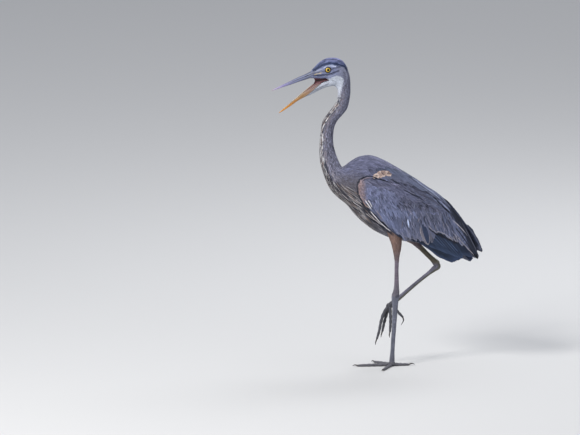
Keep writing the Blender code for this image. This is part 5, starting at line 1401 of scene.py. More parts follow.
def coat_thighs():
    coat = Coat()
    for i, (table, shank) in enumerate(((LEFT_THIGH, LEFT_SHANK), (RIGHT_THIGH, RIGHT_SHANK))):
        s, p = limb_points(table, 61, 48)
        surf = Surf(s, p)
        u, v = scatter(surf, 0.0, len(table) - 1.02, 2.75)
        last = len(table) - 1
        ln = np.interp(u / last, [0, 0.5, 1], [20, 16, 10]) * RNG.uniform(0.85, 1.15, len(u))
        wd = np.interp(u / last, [0, 0.5, 1], [2.5, 2.1, 1.4]) * RNG.uniform(0.9, 1.1, len(u))
        pts = grow(surf, u, v, ln, wd, steps=4, cols=3, base=-1.8, rise=2.4, camber=0.24, angle=RNG.normal(0, 0.10, len(u)), ragged=0.05)
        q = surf.at(u, v)[0]
        streak = value_noise(np.stack([u * 2.0, np.cos(2 * np.pi * v) * 9, np.sin(2 * np.pi * v) * 9], -1), 2.0, 22)
        base = mix((0.195, 0.122, 0.100), (0.165, 0.130, 0.146), ramp(u / last, 0.40, 0.85)) * (1 + 0.26 * value_noise(q, 7.0, 21) + 0.26 * streak)[:, None]
        base = mix(base, (0.30, 0.26, 0.28), (RNG.uniform(0, 1, len(u)) < 0.08) * 0.5)
        coat.add(pts, vane_colour(base, 4, 3, edge=(0.25, 0.20, 0.20), edge_amt=0.25, jitter=0.10, root_dark=0.62), ln, wd, (0.02 + 0.46 * u / last + 0.5 * i, v))
    return coat.build("coat_thighs", DOWN, "thigh_plumage")


# ------------------------------------------------------------------ legs in scaled skin
def hex_scales(a, b, pitch):
    """Raised rounded scales on a hexagonal lattice: 0 in the grooves, 1 on the scales."""
    best = np.full(np.shape(a), 9.0); second = np.full(np.shape(a), 9.0)
    r0 = np.round(b / (pitch * 0.866))
    for dr in (-1, 0, 1):
        r = r0 + dr
        off = 0.5 * np.mod(r, 2)
        c0 = np.round(a / pitch - off)
        for dc in (-1, 0, 1):
            ca = (c0 + dc + off) * pitch
            cb = r * pitch * 0.866
            d = np.hypot(a - ca, b - cb) / pitch
            second = np.where(d < best, best, np.minimum(second, d))
            best = np.minimum(best, d)
    return smooth((second - best) / 0.32)


def plates(a, pitch):
    f = np.mod(a / pitch, 1.0)
    return smooth(f / 0.14) * (1 - 0.55 * f) * smooth((1 - f) / 0.10 + 0.25)


class Patch:
    """Grids of skin gathered into one mesh."""

    def __init__(self):
        self.v, self.q, self.t, self.c, self.n = [], [], [], [], 0

    def grid(self, p, rgb, wrap=True, cap_start=True, cap_end=True):
        a, b = p.shape[:2]
        idx = self.n + np.arange(a * b).reshape(a, b)
        nxt = np.roll(idx, -1, 1) if wrap else idx[:, 1:]
        cur = idx if wrap else idx[:, :-1]
        self.q.append(np.stack([cur[:-1], nxt[:-1], nxt[1:], cur[1:]], -1).reshape(-1, 4))
        self.v.append(p.reshape(-1, 3)); self.c.append(np.broadcast_to(rgb, p.shape).reshape(-1, 3))
        self.n += a * b
        for want, line, k in ((cap_start, idx[0][::-1], 0), (cap_end, idx[-1], -1)):
            if want and wrap:
                self.v.append(p[k].mean(0)[None]); self.c.append(np.broadcast_to(rgb, p.shape)[k].mean(0)[None])
                self.t.append(np.stack([line, np.roll(line, -1), np.full(b, self.n)], -1))
                self.n += 1

    def raw(self, verts, faces4, faces3, rgb):
        if len(faces4):
            self.q.append(np.asarray(faces4) + self.n)
        if len(faces3):
            self.t.append(np.asarray(faces3) + self.n)
        self.v.append(verts); self.c.append(np.broadcast_to(rgb, verts.shape)); self.n += len(verts)

    def build(self, name, mat, slot, nodes=(), sharp=70.0, uv=True):
        tri = np.concatenate(self.t) if self.t else np.zeros((0, 3), int)
        quads = np.concatenate(self.q) if self.q else np.zeros((0, 4), int)
        mesh, loops = build_mesh(name, np.concatenate(self.v), quads, [tri], sharp)
        set_colour(mesh, np.concatenate(self.c))
        obj = link(name, mesh, mat)
        return place(obj, nodes)


def scaled_limb(patch, table, steps, base, scute, front=math.pi, start=0.0, plate=4.3, pebble=2.3, height=0.34, seed=0, tint=None):
    s, p = limb_points(table, steps, 44)
    c = p.mean(1, keepdims=True)
    arc = np.concatenate([[0], np.cumsum(np.linalg.norm(np.diff(c[:, 0], axis=0), axis=1))])
    f = np.arange(44) * 2 * math.pi / 44
    rad = np.linalg.norm(p - c, axis=-1)
    around = (f[None, :] - front) * rad.mean(1, keepdims=True)
    A, B = np.broadcast_arrays(arc[:, None], around)
    wob = value_noise(np.stack([A, B * 0.3, A * 0], -1), 9.0, seed) * 0.8
    on = 1 - ramp(np.abs(np.mod(f - front + math.pi, 2 * math.pi) - math.pi), 0.85, 1.15)[None, :] * np.ones_like(A)
    on = on * smooth((A - start) / 8.0 + 0.5)
    h_plate = plates(A + wob + 0.05 * B ** 2 * 0.2, plate)
    h_hex = hex_scales(B, A + wob * 0.4, pebble)
    h = on * h_plate + (1 - on) * h_hex
    n = unit(p - c)
    fine = value_noise(p, 1.4, seed + 1) * 0.05
    p = p + n * ((h - 0.75) * height + fine)[..., None]
    rgb = mix(base, scute, on * 0.65)
    if tint is not None:
        rgb = tint(p, n, rgb)
    streak = value_noise(np.stack([A * 0.16, B, A * 0], -1), 2.2, seed + 4)
    rgb = rgb * (0.36 + 0.44 * h)[..., None] * (1 + 0.20 * value_noise(p, 9.0, seed + 2) + 0.22 * streak)[..., None]
    patch.grid(p, np.clip(rgb, 0.003, 0.9))


def scaled_toe(patch, pts, base, flat, seed):
    t = np.asarray(pts, float)
    steps = int(1 + 1.25 * np.linalg.norm(np.diff(t[:, :3], axis=0), axis=1).sum())
    s = np.linspace(0, len(t) - 1, steps)
    r = cr(t, s)
    c = r[:, :3]
    tan = unit(np.gradient(c, axis=0))
    up = np.array([0.0, 0.0, 1.0]) if flat else np.array([-0.75, 0.0, 0.2])
    up = unit(up - tan * (tan @ up)[:, None])
    across = np.cross(tan, up)
    arc = np.concatenate([[0], np.cumsum(np.linalg.norm(np.diff(c, axis=0), axis=1))])
    f = np.arange(26) * 2 * math.pi / 26           # 0 is the upper side
    knuckle = 1 + 0.10 * np.cos(arc / arc[-1] * 2 * math.pi * (len(t) - 1)) * np.sin(arc / arc[-1] * math.pi)
    rad = (r[:, 3] * knuckle)[:, None]
    A, F = np.broadcast_arrays(arc[:, None], f[None, :])
    on = 1 - ramp(np.abs(np.mod(F + math.pi, 2 * math.pi) - math.pi), 0.9, 1.2)
    h = on * plates(A, 2.9) + (1 - on) * hex_scales(F * rad, A, 1.7)
    pad = 0.6 * np.maximum(0, -np.cos(F)) * (0.5 + 0.5 * np.cos(arc / arc[-1] * 2 * math.pi * (len(t) - 1)))[:, None]
    rr = rad * (0.97 + 0.02 * np.cos(F)) + (h - 0.8) * 0.26 + pad * 0.5
    p = c[:, None] + up[:, None] * (rr * np.cos(F))[..., None] + across[:, None] * (rr * np.sin(F))[..., None]
    if flat:
        p[..., 2] = np.maximum(p[..., 2], 0.0)
    rgb = np.asarray(base) * (0.6 + 0.5 * h)[..., None] * (1 + 0.14 * value_noise(p, 8.0, seed))[..., None]
    rgb = mix(rgb, np.asarray((0.115, 0.105, 0.09)), np.clip(-np.cos(F), 0, 1) * 0.5)
    patch.grid(p, np.clip(rgb, 0.003, 0.9))


def ball(centre, radii, clamp, count=(22, 30)):
    a = np.linspace(0.04, math.pi - 0.04, count[0])
    f = np.arange(count[1]) * 2 * math.pi / count[1]
    A, F = np.meshgrid(a, f, indexing="ij")
    p = np.stack([np.sin(A) * np.cos(F) * radii[0], np.sin(A) * np.sin(F) * radii[1], np.cos(A) * radii[2]], -1)
    h = hex_scales(F * radii[0] * np.sin(A), A * radii[0], 2.0)
    p = p * (1 + (h - 0.8) * 0.03)[..., None] + np.asarray(centre, float)
    if clamp:
        p[..., 2] = np.maximum(p[..., 2], 0.0)
    return p, h


TARSUS_L = (0.190, 0.200, 0.262)
TARSUS_R = (0.118, 0.122, 0.086)


def lore_colour(h):
    """Bare skin before the eye: blue-grey, with a cream patch by the gape and a dark line over it."""
    x, z = h[..., 0], h[..., 2] + 0.5 * value_noise(h, 2.2, 45)
    c = mix((0.150, 0.160, 0.235), (0.230, 0.245, 0.350), ramp(x, -236, -214))
    c = mix(c, (0.66, 0.54, 0.30), stroke(x, z, [(-232, 872.0), (-222, 874.5), (-214, 876.8)], 2.3, 1.0) * 0.95)
    c = mix(c, (0.040, 0.044, 0.075), stroke(x, z, [(-240, 877.5), (-226, 879.5), (-212, 882.5), (-204, 884.5)], 1.1, 0.8) * 0.85)
    return c * (1 + 0.16 * value_noise(h, 1.6, 46))[..., None]


def skin():
    patch = Patch()
    # flesh of head, neck and trunk, jaw, thighs and tail root, run together into one surface
    us = np.linspace(0.06, 31.7, 300)
    uu, vv = np.meshgrid(us, np.arange(72) / 72.0, indexing="ij")
    depth = np.interp(uu, [0, 5, 8, 14, 19, 22, 32], [0.9, 1.3, 1.9, 2.4, 2.8, 3.8, 3.0])
    lumps = [body_points(uu, vv * 2 * math.pi, grow=0.0) - BODY_S.at(uu, vv)[1] * depth[..., None]]
    ju, jv = np.meshgrid(np.linspace(0.02, 6.4, 70), np.arange(40) / 40.0, indexing="ij")
    jaw = body_points(ju, jv * 2 * math.pi, table=LOWER_JAW, head_turn=HEAD_YAW, egg=0.0)
    hj = head_space(jaw)
    behind = line_side(hj[..., 0], hj[..., 2], (-273, 797), (-212, 851))
    cj = jaw.mean(1, keepdims=True)
    jaw = cj + (jaw - cj) * (0.90 * (1 - 0.20 * ramp(np.cos(jv * 2 * math.pi), 0.2, 0.8)))[..., None]
    # everything ahead of the feathers' edge is drawn back to it
    e0, e1 = np.array([-273.0, 797.0]), np.array([-212.0, 851.0])
    en = np.array([-(e1 - e0)[1], (e1 - e0)[0]]) / np.linalg.norm(e1 - e0)
    hj = head_space(jaw)
    over = np.maximum(0, (hj[..., [0, 2]] - e0) @ en + 0.8)
    hj[..., 0] -= over * en[0]
    hj[..., 2] -= over * en[1]
    lumps.append(yaw(hj, HEAD_YAW))
    for table in (LEFT_THIGH, RIGHT_THIGH):
        s, p = limb_points(table, 50, 40, -1.7)
        lumps.append(p)
    tp = TAIL_S.p.copy(); tc = tp.mean(1, keepdims=True)
    lumps.append(tc + (tp - tc) * 0.62)
    src = Patch()
    for p in lumps:
        src.grid(p, (0.1, 0.1, 0.1))
    mesh, _ = build_mesh("skin_source", np.concatenate(src.v), np.concatenate(src.q), [np.concatenate(src.t)], 0)
    tmp = bpy.data.objects.new("skin_source", mesh)
    bpy.context.scene.collection.objects.link(tmp)
    mod = tmp.modifiers.new("one_skin", "REMESH")
    mod.mode = "VOXEL"; mod.voxel_size = 0.0028; mod.adaptivity = 0.0
    bpy.context.view_layer.update()
    ev = tmp.evaluated_get(bpy.context.evaluated_depsgraph_get())
    me = ev.to_mesh()
    co = np.empty(len(me.vertices) * 3, np.float32); me.vertices.foreach_get("co", co)
    co = co.reshape(-1, 3).astype(float) / MM
    loops = np.empty(len(me.loops), np.int32); me.loops.foreach_get("vertex_index", loops)
    faces = loops.reshape(-1, 4)
    ev.to_mesh_clear()
    bpy.data.objects.remove(tmp, do_unlink=True)
    tree = BVHTree.FromPolygons([Vector(q) for q in BODY_S.p.reshape(-1, 3)[::1]],
                                [[i * 96 + j, (i + 1) * 96 + j, (i + 1) * 96 + (j + 1) % 96, i * 96 + (j + 1) % 96]
                                 for i in range(0, 416) for j in range(96)])
    near = np.array([tree.find_nearest(Vector(q))[2] for q in co])
    u = S_GRID[near // 96]
    v = (near % 96) / 96.0
    rgb = paint(co, u, v)
    h = head_space(co)
    cd = np.cos(2 * np.pi * v)
    # bare skin: lores, the mouth's roof and the gape
    bare = (u < 2.7) * (np.abs(h[:, 2] - np.interp(h[:, 0], [-242, -204], [873.5, 883.0])) < 7) * (h[:, 0] < -202)
    lore = lore_colour(h)
    rgb = np.where(bare[:, None] > 0, lore, rgb * 0.8)
    mouth = (u < 3.4) & (cd < -0.72) & (h[:, 2] < 864)
    rgb = np.where(mouth[:, None], np.array(GAPE), rgb)
    in_jaw = line_side(h[:, 0], h[:, 2], (-186, 850), (-262, 815)) > 0
    jawmask = (h[:, 2] < 858) & (h[:, 0] < -186) & (u < 4.5)
    top = (h[:, 2] > np.interp(h[:, 0], [-262, -229, -211, -196, -186], [815, 838.5, 844.5, 849, 851]))
    rgb = np.where((jawmask & ~top)[:, None], np.array(WHITE) * 0.85, rgb)
    rgb = np.where((jawmask & top)[:, None], np.array(GAPE), rgb)
    thigh = (h[:, 2] < 700) & (co[:, 2] < 412) & (np.abs(co[:, 1]) > 12) & (co[:, 0] < 90) & (co[:, 2] < 424 - 0.55 * np.maximum(co[:, 0] - 8, 0))
    rgb = np.where(thigh[:, None], np.array(RUFOUS) * 0.7, rgb)
    n = value_noise(co, 6.0, 40)
    # shallow folds in the loose skin of the lores
    fold = np.where(bare > 0, 0.35 * np.sin(h[:, 2] * 1.5 + n), 0.0)
    co[:, 1] += fold * np.sign(co[:, 1]) * 0.6
    patch.raw(co, faces, [], np.clip(rgb, 0.003, 0.9))

    # cheek skin stretched across the corners of the gape
    for sg in (-1.0, 1.0):
        q = np.linspace(0, 1, 26)
        k = np.linspace(0, 1, 15)
        Q, K = np.meshgrid(q, k, indexing="ij")
        x = -232 + 40 * Q + 6.0 * np.sin(np.pi * K) * (1 - Q)
        zu = np.interp(x, [-240, -214, -196, -186], [862.5, 860.5, 858.5, 857.0])
        zl = np.interp(x, [-240, -229, -211, -196, -186], [840.0, 843.5, 850.0, 855.0, 856.0])
        z = zl + (zu - zl) * K
        y = np.interp(x, [-240, -214, -196, -186], [8.2, 10.6, 12.2, 13.0]) - 3.6 * np.sin(np.pi * K) * (1 - 0.5 * Q)
        y = y + 0.32 * np.sin(Q * 44 + 3 * K) * np.sin(np.pi * K)
        outer = np.stack([x, sg * y, z], -1)
        inner = np.stack([x, sg * (y - 1.1), z], -1)
        loop = np.concatenate([outer, inner[:, ::-1]], 1)
        if sg > 0:
            loop = loop[:, ::-1]
        KK = np.concatenate([K, K[:, ::-1]], 1)
        # painted shade: the membrane is near-black along its middle, as shade inside the corner of the mouth
        tone = mix((0.088, 0.019, 0.028), (0.004, 0.0015, 0.002), np.exp(-((KK - 0.62) / 0.24) ** 4) * 0.96)
        patch.grid(yaw(loop, HEAD_YAW), tone * (1 + 0.2 * value_noise(loop, 2.0, 44))[..., None])

    # the face's skin runs a little way over the bill's root
    rows = [(1.15, -2.0), (0.90, -1.25), (0.66, -0.85), (0.42, -0.45), (0.20, -0.12), (0.06, 0.03), (0.0, 0.05)]
    cth = np.arange(88) * 2 * math.pi / 88
    ring = [body_points(np.full(88, a), cth, grow=g) for a, g in rows]
    rows_bill = [(-0.02, 1.012), (0.03, 1.012), (0.065, 1.004), (0.085, 0.97)]
    for b, k in rows_bill[1:]:
        rb = cr(UPPER_BILL, np.full(88, b))
        kk = 1 + (k - 1) * ramp(np.cos(cth), -0.95, -0.6) if k > 1 else k
        ring.append(section(rb, np.cos(cth), np.sin(cth) * (1 - 0.30 * ramp(np.cos(cth), 0.05, 0.95) * ramp(b, 0.0, 0.05)), kk[..., None] if np.ndim(kk) > 1 else kk))
    ring = np.stack(ring)
    hc = head_space(ring)
    low = (1 - ramp(hc[..., 2], 862.0, 864.0)) * ramp(-np.cos(cth), 0.86, 0.95)
    tone = mix(mix(paint_head(ring), lore_colour(hc), (ramp(hc[..., 2], 861, 864) * (1 - ramp(hc[..., 2], 881, 883)))), GAPE, low)
    patch.grid(ring[:, ::-1], tone[:, ::-1], cap_start=False, cap_end=False)

    # eyelids
    for sg in (-1.0, 1.0):
        f = np.arange(64) * 2 * math.pi / 64
        prof = [(6.9, 15.6), (7.15, 18.3), (7.6, 19.15), (8.3, 19.25), (9.2, 18.7), (10.2, 18.0), (11.2, 16.4), (9.0, 13.0)]
        pts = []
        for r, y in prof:
            rx, rz = r * (1.03 + 0.05 * np.cos(f)), r * (1.0 - 0.05 * np.abs(np.sin(f)) * (np.sin(f) > 0))
            x = EYE[0] + rx * np.cos(f) * 1.0
            z = EYE[2] + rz * np.sin(f)
            yy = y - np.maximum(0, -(x - EYE[0])) * 0.10 * (r > 7) - 0.0075 * (z - EYE[2]) ** 2 * (r > 9)
            crease = 0.18 * np.cos(f * 22) * (7 < r < 10)
            pts.append(np.stack([x, sg * (yy + crease), z], -1))
        p = yaw(np.stack(pts), HEAD_YAW)
        if sg > 0:
            p = p[:, ::-1]
        shade = np.array([0.008, 0.008, 0.008, 0.014, 0.040, 0.085, 0.11, 0.1])[:, None, None] * np.array([1, 1.05, 1.25])
        rim = np.concatenate([p, p[:1]])
        patch.grid(rim, np.concatenate([shade, shade[:1]]) * np.ones((9, 64, 1)), cap_start=False, cap_end=False)

    # the wings' flesh under their coverts
    for name, surf in (("wing_left", WING_L), ("wing_right", WING_R)):
        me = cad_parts[name].data
        w = np.empty(len(me.vertices) * 3); me.vertices.foreach_get("co", w); w = w.reshape(-1, 3) / MM
        nv = np.empty(len(me.vertices) * 3); me.vertices.foreach_get("normal", nv); nv = nv.reshape(-1, 3)
        outer = np.sign(w[:, 1]) * nv[:, 1] > 0
        t = surf.thickness(w[:, [0, 2]])
        centre = np.array([70.0, 0, 470.0])
        w = w - nv * np.where(outer, np.clip(t * 0.82, 0, t - 0.5), 0.1)[:, None]
        pull = unit(centre - w) * [1, 0, 1]
        w = w + pull * 1.5
        tri = [list(p.vertices) for p in me.polygons if len(p.vertices) == 3]
        quad = [list(p.vertices) for p in me.polygons if len(p.vertices) == 4]
        c = mix((0.085, 0.095, 0.150), (0.24, 0.18, 0.20), ramp(-w[:, 0], 58, 80) * ramp(w[:, 2], 495, 515))
        c = mix(c, (0.016, 0.026, 0.054), ramp(-w[:, 2], -420, -404) * (1 - ramp(w[:, 0], 196, 214)))
        c = mix(c, (0.060, 0.068, 0.105), ramp(w[:, 0], 214, 232))
        patch.raw(w, np.array(quad).reshape(-1, 4), np.array(tri).reshape(-1, 3), c)

    # bare legs and feet
    def left_tone(p, n, rgb):
        z = p[..., 2]
        rgb = mix(rgb, (0.225, 0.185, 0.240), ramp(z, 232, 262) * 0.9)
        rgb = mix(rgb, (0.070, 0.076, 0.115), (1 - ramp(np.abs(z - 214), 2.0, 7.0)) * ramp(n[..., 0], -0.2, 0.5) * 0.7)
        return mix(rgb, (0.150, 0.150, 0.185), (1 - ramp(z, 14, 46)) * 0.6)

    def right_tone(p, n, rgb):
        x = p[..., 0]
        # painted shade: the underside is olive against a lavender-grey upper side; the side facing -y is also a little
        # darker
        under = ramp(n[..., 0] - 0.8 * n[..., 2], -0.1, 0.7)
        c = mix((0.215, 0.205, 0.290), (0.165, 0.160, 0.120), under)
        c = mix(c, (0.080, 0.080, 0.095), (1 - ramp(np.abs(n[..., 1] + 0.9), 0.1, 0.5)) * 0.25)
        # painted highlight: the shank is lighter tan on the side facing back and up
        shank = ramp(p[..., 2], 296, 312)
        c = mix(c, mix((0.130, 0.108, 0.072), (0.215, 0.195, 0.150), ramp(n[..., 0] + n[..., 2], 0.0, 1.0)), shank)
        return mix(c, (0.085, 0.085, 0.105), 1 - ramp(x, -6, 12))

    scaled_limb(patch, [LEFT_THIGH[4][:3] + (5.4, 5.2)] + LEFT_SHANK + [(11.4, -15.4, 210, 8.4, 6.8)], 170, (0.190, 0.175, 0.215), (0.235, 0.220, 0.270), start=10, plate=4.6, pebble=2.6, seed=2, tint=left_tone)
    scaled_limb(patch, [(11.8, -15.8, 216, 9.4, 7.4)] + LEFT_TARSUS, 270, TARSUS_L, (0.250, 0.262, 0.330), start=0, plate=4.4, pebble=2.2, seed=5, tint=left_tone)
    scaled_limb(patch, [RIGHT_THIGH[4][:3] + (6.0, 5.8)] + RIGHT_SHANK + [(130, 33, 301, 9.0, 7.4)], 120, (0.105, 0.106, 0.080), (0.150, 0.148, 0.115), start=10, plate=4.6, pebble=2.6, seed=8, tint=right_tone)
    scaled_limb(patch, [(128.5, 33, 303, 8.8, 7.4)] + RIGHT_TARSUS, 240, TARSUS_R, (0.165, 0.166, 0.122), start=0, plate=4.4, pebble=2.2, seed=11, tint=right_tone)
    for toes, centre, base, flat, seed in ((LEFT_TOES, (0, 0, 6.0), (0.120, 0.118, 0.138), True, 30), (RIGHT_TOES, (-9, 29.5, 176), (0.072, 0.074, 0.092), False, 50)):
        for k, pts in enumerate(toes.values()):
            f0 = pts[0]
            body = [tuple(0.62 * c + 0.38 * q for c, q in zip(centre, f0[:3])) + (f0[3] * 0.98,)] + [tuple(q) for q in pts[:-3]]
            x, y, z, r = pts[-3]
            body.append((x, y, z, r * 1.04))
            scaled_toe(patch, body, base, flat, seed + k)
    for centre, radii, flat, base in (((0, 0, 6.5), (10.3, 9.3, 9.3), True, (0.13, 0.13, 0.150)), ((-11, 29, 174), (9.3, 9.3, 9.3), False, (0.074, 0.075, 0.094)),
                                      ((11.8, -15.8, 213.5), (10.4, 8.0, 8.0), False, (0.140, 0.145, 0.185)), ((129.5, 33, 301.5), (8.8, 7.6, 8.6), False, (0.150, 0.140, 0.125))):
        p, h = ball(centre, radii, flat)
        patch.grid(p, np.asarray(base) * (0.46 + 0.40 * h)[..., None])

    mat = painted_material("bare_skin", rough=0.52, bump=0.35, scale=900, spec=0.4, variation=0.14)
    flesh = ["head", "chin", "neck_upper", "neck_middle", "neck_lower", "trunk", "tail", "wing_left", "wing_right"]
    for side in ("left", "right"):
        flesh += [f"{k}_{side}" for k in ("thigh", "shank", "tarsus", "foot")] + [f"toe_{side}_{k}" for k in LEFT_TOES]
    return patch.build("skin", mat, "leg_skin", flesh, sharp=0)


# ------------------------------------------------------------------ bill
def grid_of(table, u0, u1, nu, nv, turn=HEAD_YAW):
    uu, vv = np.meshgrid(np.linspace(u0, u1, nu), np.arange(nv) / nv, indexing="ij")
    r = cr(table, uu)
    return uu, vv * 2 * math.pi, r


def section(r, c, s, k=1.0):
    """A point of a cross-section from its two offsets, each from -1 to 1."""
    cx, cz = (r[..., 0] + r[..., 2]) / 2, (r[..., 1] + r[..., 3]) / 2
    ux, uz = (r[..., 0] - r[..., 2]) / 2, (r[..., 1] - r[..., 3]) / 2
    return yaw(np.stack([cx + ux * c * k, r[..., 4] * s * k, cz + uz * c * k], -1), HEAD_YAW)


def bill():
    mat = painted_material("bill_horn_keratin", rough=0.36, bump=0.18, scale=420, spec=0.5, coat=0.12, variation=0.10)
    # upper
    patch = Patch()
    uu, th, r = grid_of(UPPER_BILL, -0.22, 6.0, 124, 56)
    c, s = np.cos(th), np.sin(th)
    t = uu / 6.0
    s2 = s * (1 - 0.30 * ramp(c, 0.05, 0.95))
    trough = ramp(0.66 - np.abs(s), 0.0, 0.6) * (c < 0) * (1 - 0.5 * ramp(t, 0.75, 1.0))
    c2 = c + 0.52 * trough
    groove = np.exp(-((c - 0.36) / 0.13) ** 2) * (1 - ramp(t, 0.42, 0.62))
    slit = np.exp(-((c - 0.33) / 0.075) ** 2) * np.exp(-((t - 0.125) / 0.050) ** 4)
    ridge = np.exp(-((c + 0.55) / 0.14) ** 2) * 0.05
    s2 = s2 * (1 - 0.10 * groove - 0.20 * slit + ridge)
    p = section(r, c2, s2, 0.995)
    back = p.mean(1, keepdims=True)
    p = back + (p - back) * (1 - 0.10 * ramp(-uu, -0.02, 0.22))[..., None]
    h = head_space(p)
    grain = value_noise(np.stack([h[..., 0] * 0.25, h[..., 1] * 2, h[..., 2] * 2], -1), 3.0, 61)
    rgb = mix((0.120, 0.140, 0.220), (0.150, 0.168, 0.290), ramp(t, 0.05, 0.35))
    rgb = mix(rgb, (0.225, 0.210, 0.400), ramp(t, 0.35, 0.65))
    rgb = mix(rgb, (0.340, 0.285, 0.470), ramp(t, 0.60, 0.85))
    rgb = mix(rgb, (0.430, 0.320, 0.380), ramp(t, 0.88, 1.0))
    streak = value_noise(np.stack([h[..., 0] * 0.05, np.cos(th) * 5, np.sin(th) * 2], -1), 1.0, 66)
    rgb = rgb * (1 + (0.42 - 0.2 * ramp(t, 0.3, 0.8)) * streak)[..., None]
    rgb = mix(rgb, (0.060, 0.064, 0.090), ramp(c, 0.72, 0.98) * (1 - ramp(t, 0.4, 0.85)) * 0.75)       # culmen
    # painted highlights: pale lavender bands along the bill's side, above and below the nasal groove
    rgb = mix(rgb, (0.300, 0.330, 0.480), np.exp(-((c - 0.62) / 0.10) ** 2) * (1 - ramp(t, 0.25, 0.6)) * 0.6)
    rgb = mix(rgb, (0.260, 0.280, 0.400), np.exp(-((c - 0.05) / 0.12) ** 2) * (1 - ramp(t, 0.25, 0.6)) * 0.5)
    # painted shade: the nasal groove is dark and the nostril slit near-black
    rgb = mix(rgb, (0.022, 0.024, 0.040), np.clip(groove * 0.95, 0, 1) * (np.abs(s) > 0.2))
    rgb = mix(rgb, (0.008, 0.008, 0.010), np.clip(slit * 1.3, 0, 1))
    rgb = mix(rgb, (0.300, 0.270, 0.255), ramp(-c, 0.45, 0.8) * (np.abs(s) > 0.5) * 0.6)               # cutting edge
    rgb = mix(rgb, (0.200, 0.060, 0.060), trough * (1 - ramp(t, 0.3, 0.9)) * 0.9)                        # palate
    rgb = rgb * (1 + 0.08 * grain)[..., None]
    patch.grid(p, np.clip(rgb, 0.003, 0.9))
    patch.build("bill_upper_horn", mat, "bill_horn", ["bill_upper"], sharp=45)
    # lower, with its trough
    patch = Patch()
    uu, th, r = grid_of(LOWER_JAW, 1.2, 9.0, 150, 144)
    c, s = np.cos(th), np.sin(th)
    t = uu / 9.0
    a = np.minimum(th, 2 * math.pi - th)
    solid = ramp(t, 0.86, 1.0) * 0.8
    cu = np.interp(a, [0, 0.35, 0.70, 0.90, 1.05, 1.30, math.pi / 2], [-0.30, -0.22, 0.30, 0.90, 0.95, 0.62, 0.0])
    su = np.interp(a, [0, 0.35, 0.70, 0.90, 1.05, 1.30, math.pi / 2], [0.0, 0.45, 0.72, 0.80, 0.87, 0.96, 1.0])
    up = a < math.pi / 2
    hollow = (a < 0.92) * (1 - ramp(cu, 0.55, 0.9)) * (1 - solid)
    c2 = np.where(up, cu * (1 - solid) + np.cos(a) * solid, c)
    s2 = np.where(up, su * (1 - solid) + np.sin(a) * solid, np.sin(a)) * np.where(th > math.pi, -1.0, 1.0)
    s2 = s2 * (1 - 0.22 * ramp(-c, 0.3, 0.95))
    p = section(r, c2, s2, 0.97)
    h = head_space(p)
    behind = line_side(h[..., 0], h[..., 2], (-273, 797), (-212, 851))
    mid = p.mean(1, keepdims=True)
    shrink = ramp(-behind, 0.5, 4.0)
    p = mid + (p - mid) * (1 - 0.20 * shrink * (c < 0.55) - 0.22 * ramp(h[..., 0], -218, -210))[..., None]
    grain = value_noise(np.stack([h[..., 0] * 0.25, h[..., 1] * 2, h[..., 2] * 2], -1), 3.0, 67)
    rgb = mix((0.300, 0.195, 0.165), (0.330, 0.190, 0.085), ramp(t, 0.36, 0.58))
    rgb = mix(rgb, (0.520, 0.200, 0.022), ramp(t, 0.56, 0.80))
    rgb = mix(rgb, (0.720, 0.290, 0.016), ramp(t, 0.80, 0.97))
    streak = value_noise(np.stack([h[..., 0] * 0.06, np.cos(th) * 5, np.sin(th) * 2], -1), 1.0, 68)
    rgb = rgb * (1 + 0.30 * streak)[..., None]
    # bands down the side, by depth below the rim: fleshy edge, pale line, and a dark streak that is painted shadow
    # under that line
    half = np.hypot(r[..., 0] - r[..., 2], r[..., 1] - r[..., 3]) / 2
    deep = (0.95 - c2) * half
    flesh = np.interp(h[..., 0], [-272, -252, -234, -216], [0.6, 2.0, 3.4, 3.8])
    out = (1 - hollow) * (np.abs(s2) > 0.35)
    bar = 1 + 0.12 * np.sin(h[..., 0] * 3.6) * ramp(-h[..., 0], 236, 244) * (1 - ramp(-h[..., 0], 262, 270))
    rgb = rgb * bar[..., None]
    rgb = mix(rgb, (0.120, 0.018, 0.026), out * (1 - ramp(deep, flesh - 0.3, flesh + 0.3)) * (1 - ramp(-h[..., 0], 262, 274)) * 0.92)
    rgb = mix(rgb, (0.420, 0.360, 0.370), out * np.exp(-((deep - flesh - 0.9) / 0.70) ** 2) * (1 - ramp(-h[..., 0], 256, 268)) * 0.8)
    rgb = mix(rgb, (0.018, 0.015, 0.020), out * np.exp(-((deep - flesh - 2.6) / 0.90) ** 2) * ramp(-h[..., 0], 214, 220) * (1 - ramp(-h[..., 0], 240, 250)) * 0.9)
    rgb = mix(rgb, (0.330, 0.230, 0.200), out * np.exp(-((deep - flesh - 5.2) / 0.80) ** 2) * (1 - ramp(-h[..., 0], 256, 268)) * 0.5)
    rim = ramp(a, 0.84, 0.93) * (1 - ramp(a, 1.02, 1.12 + 0.14 * ramp(t, 0.45, 0.60))) * (1 - solid)
    rgb = mix(rgb, mix((0.620, 0.560, 0.560), (0.860, 0.720, 0.520), ramp(t, 0.30, 0.55)), rim * (1 - 0.5 * ramp(t, 0.85, 1.0)) * 0.92)
    rgb = mix(rgb, mix((0.130, 0.020, 0.028), (0.045, 0.010, 0.014), ramp(t, 0.36, 0.60)), hollow * (1 - ramp(t, 0.84, 0.98)) * 0.97)
    rgb = mix(rgb, (0.200, 0.060, 0.050), hollow * np.exp(-(s2 / 0.14) ** 2) * 0.4 * ramp(t, 0.45, 0.6))
    rgb = mix(rgb, GAPE, hollow * (1 - ramp(t, 0.25, 0.42)) * 0.8)
    rgb = rgb * (1 + 0.08 * grain)[..., None]
    patch.grid(p, np.clip(rgb, 0.003, 0.9))
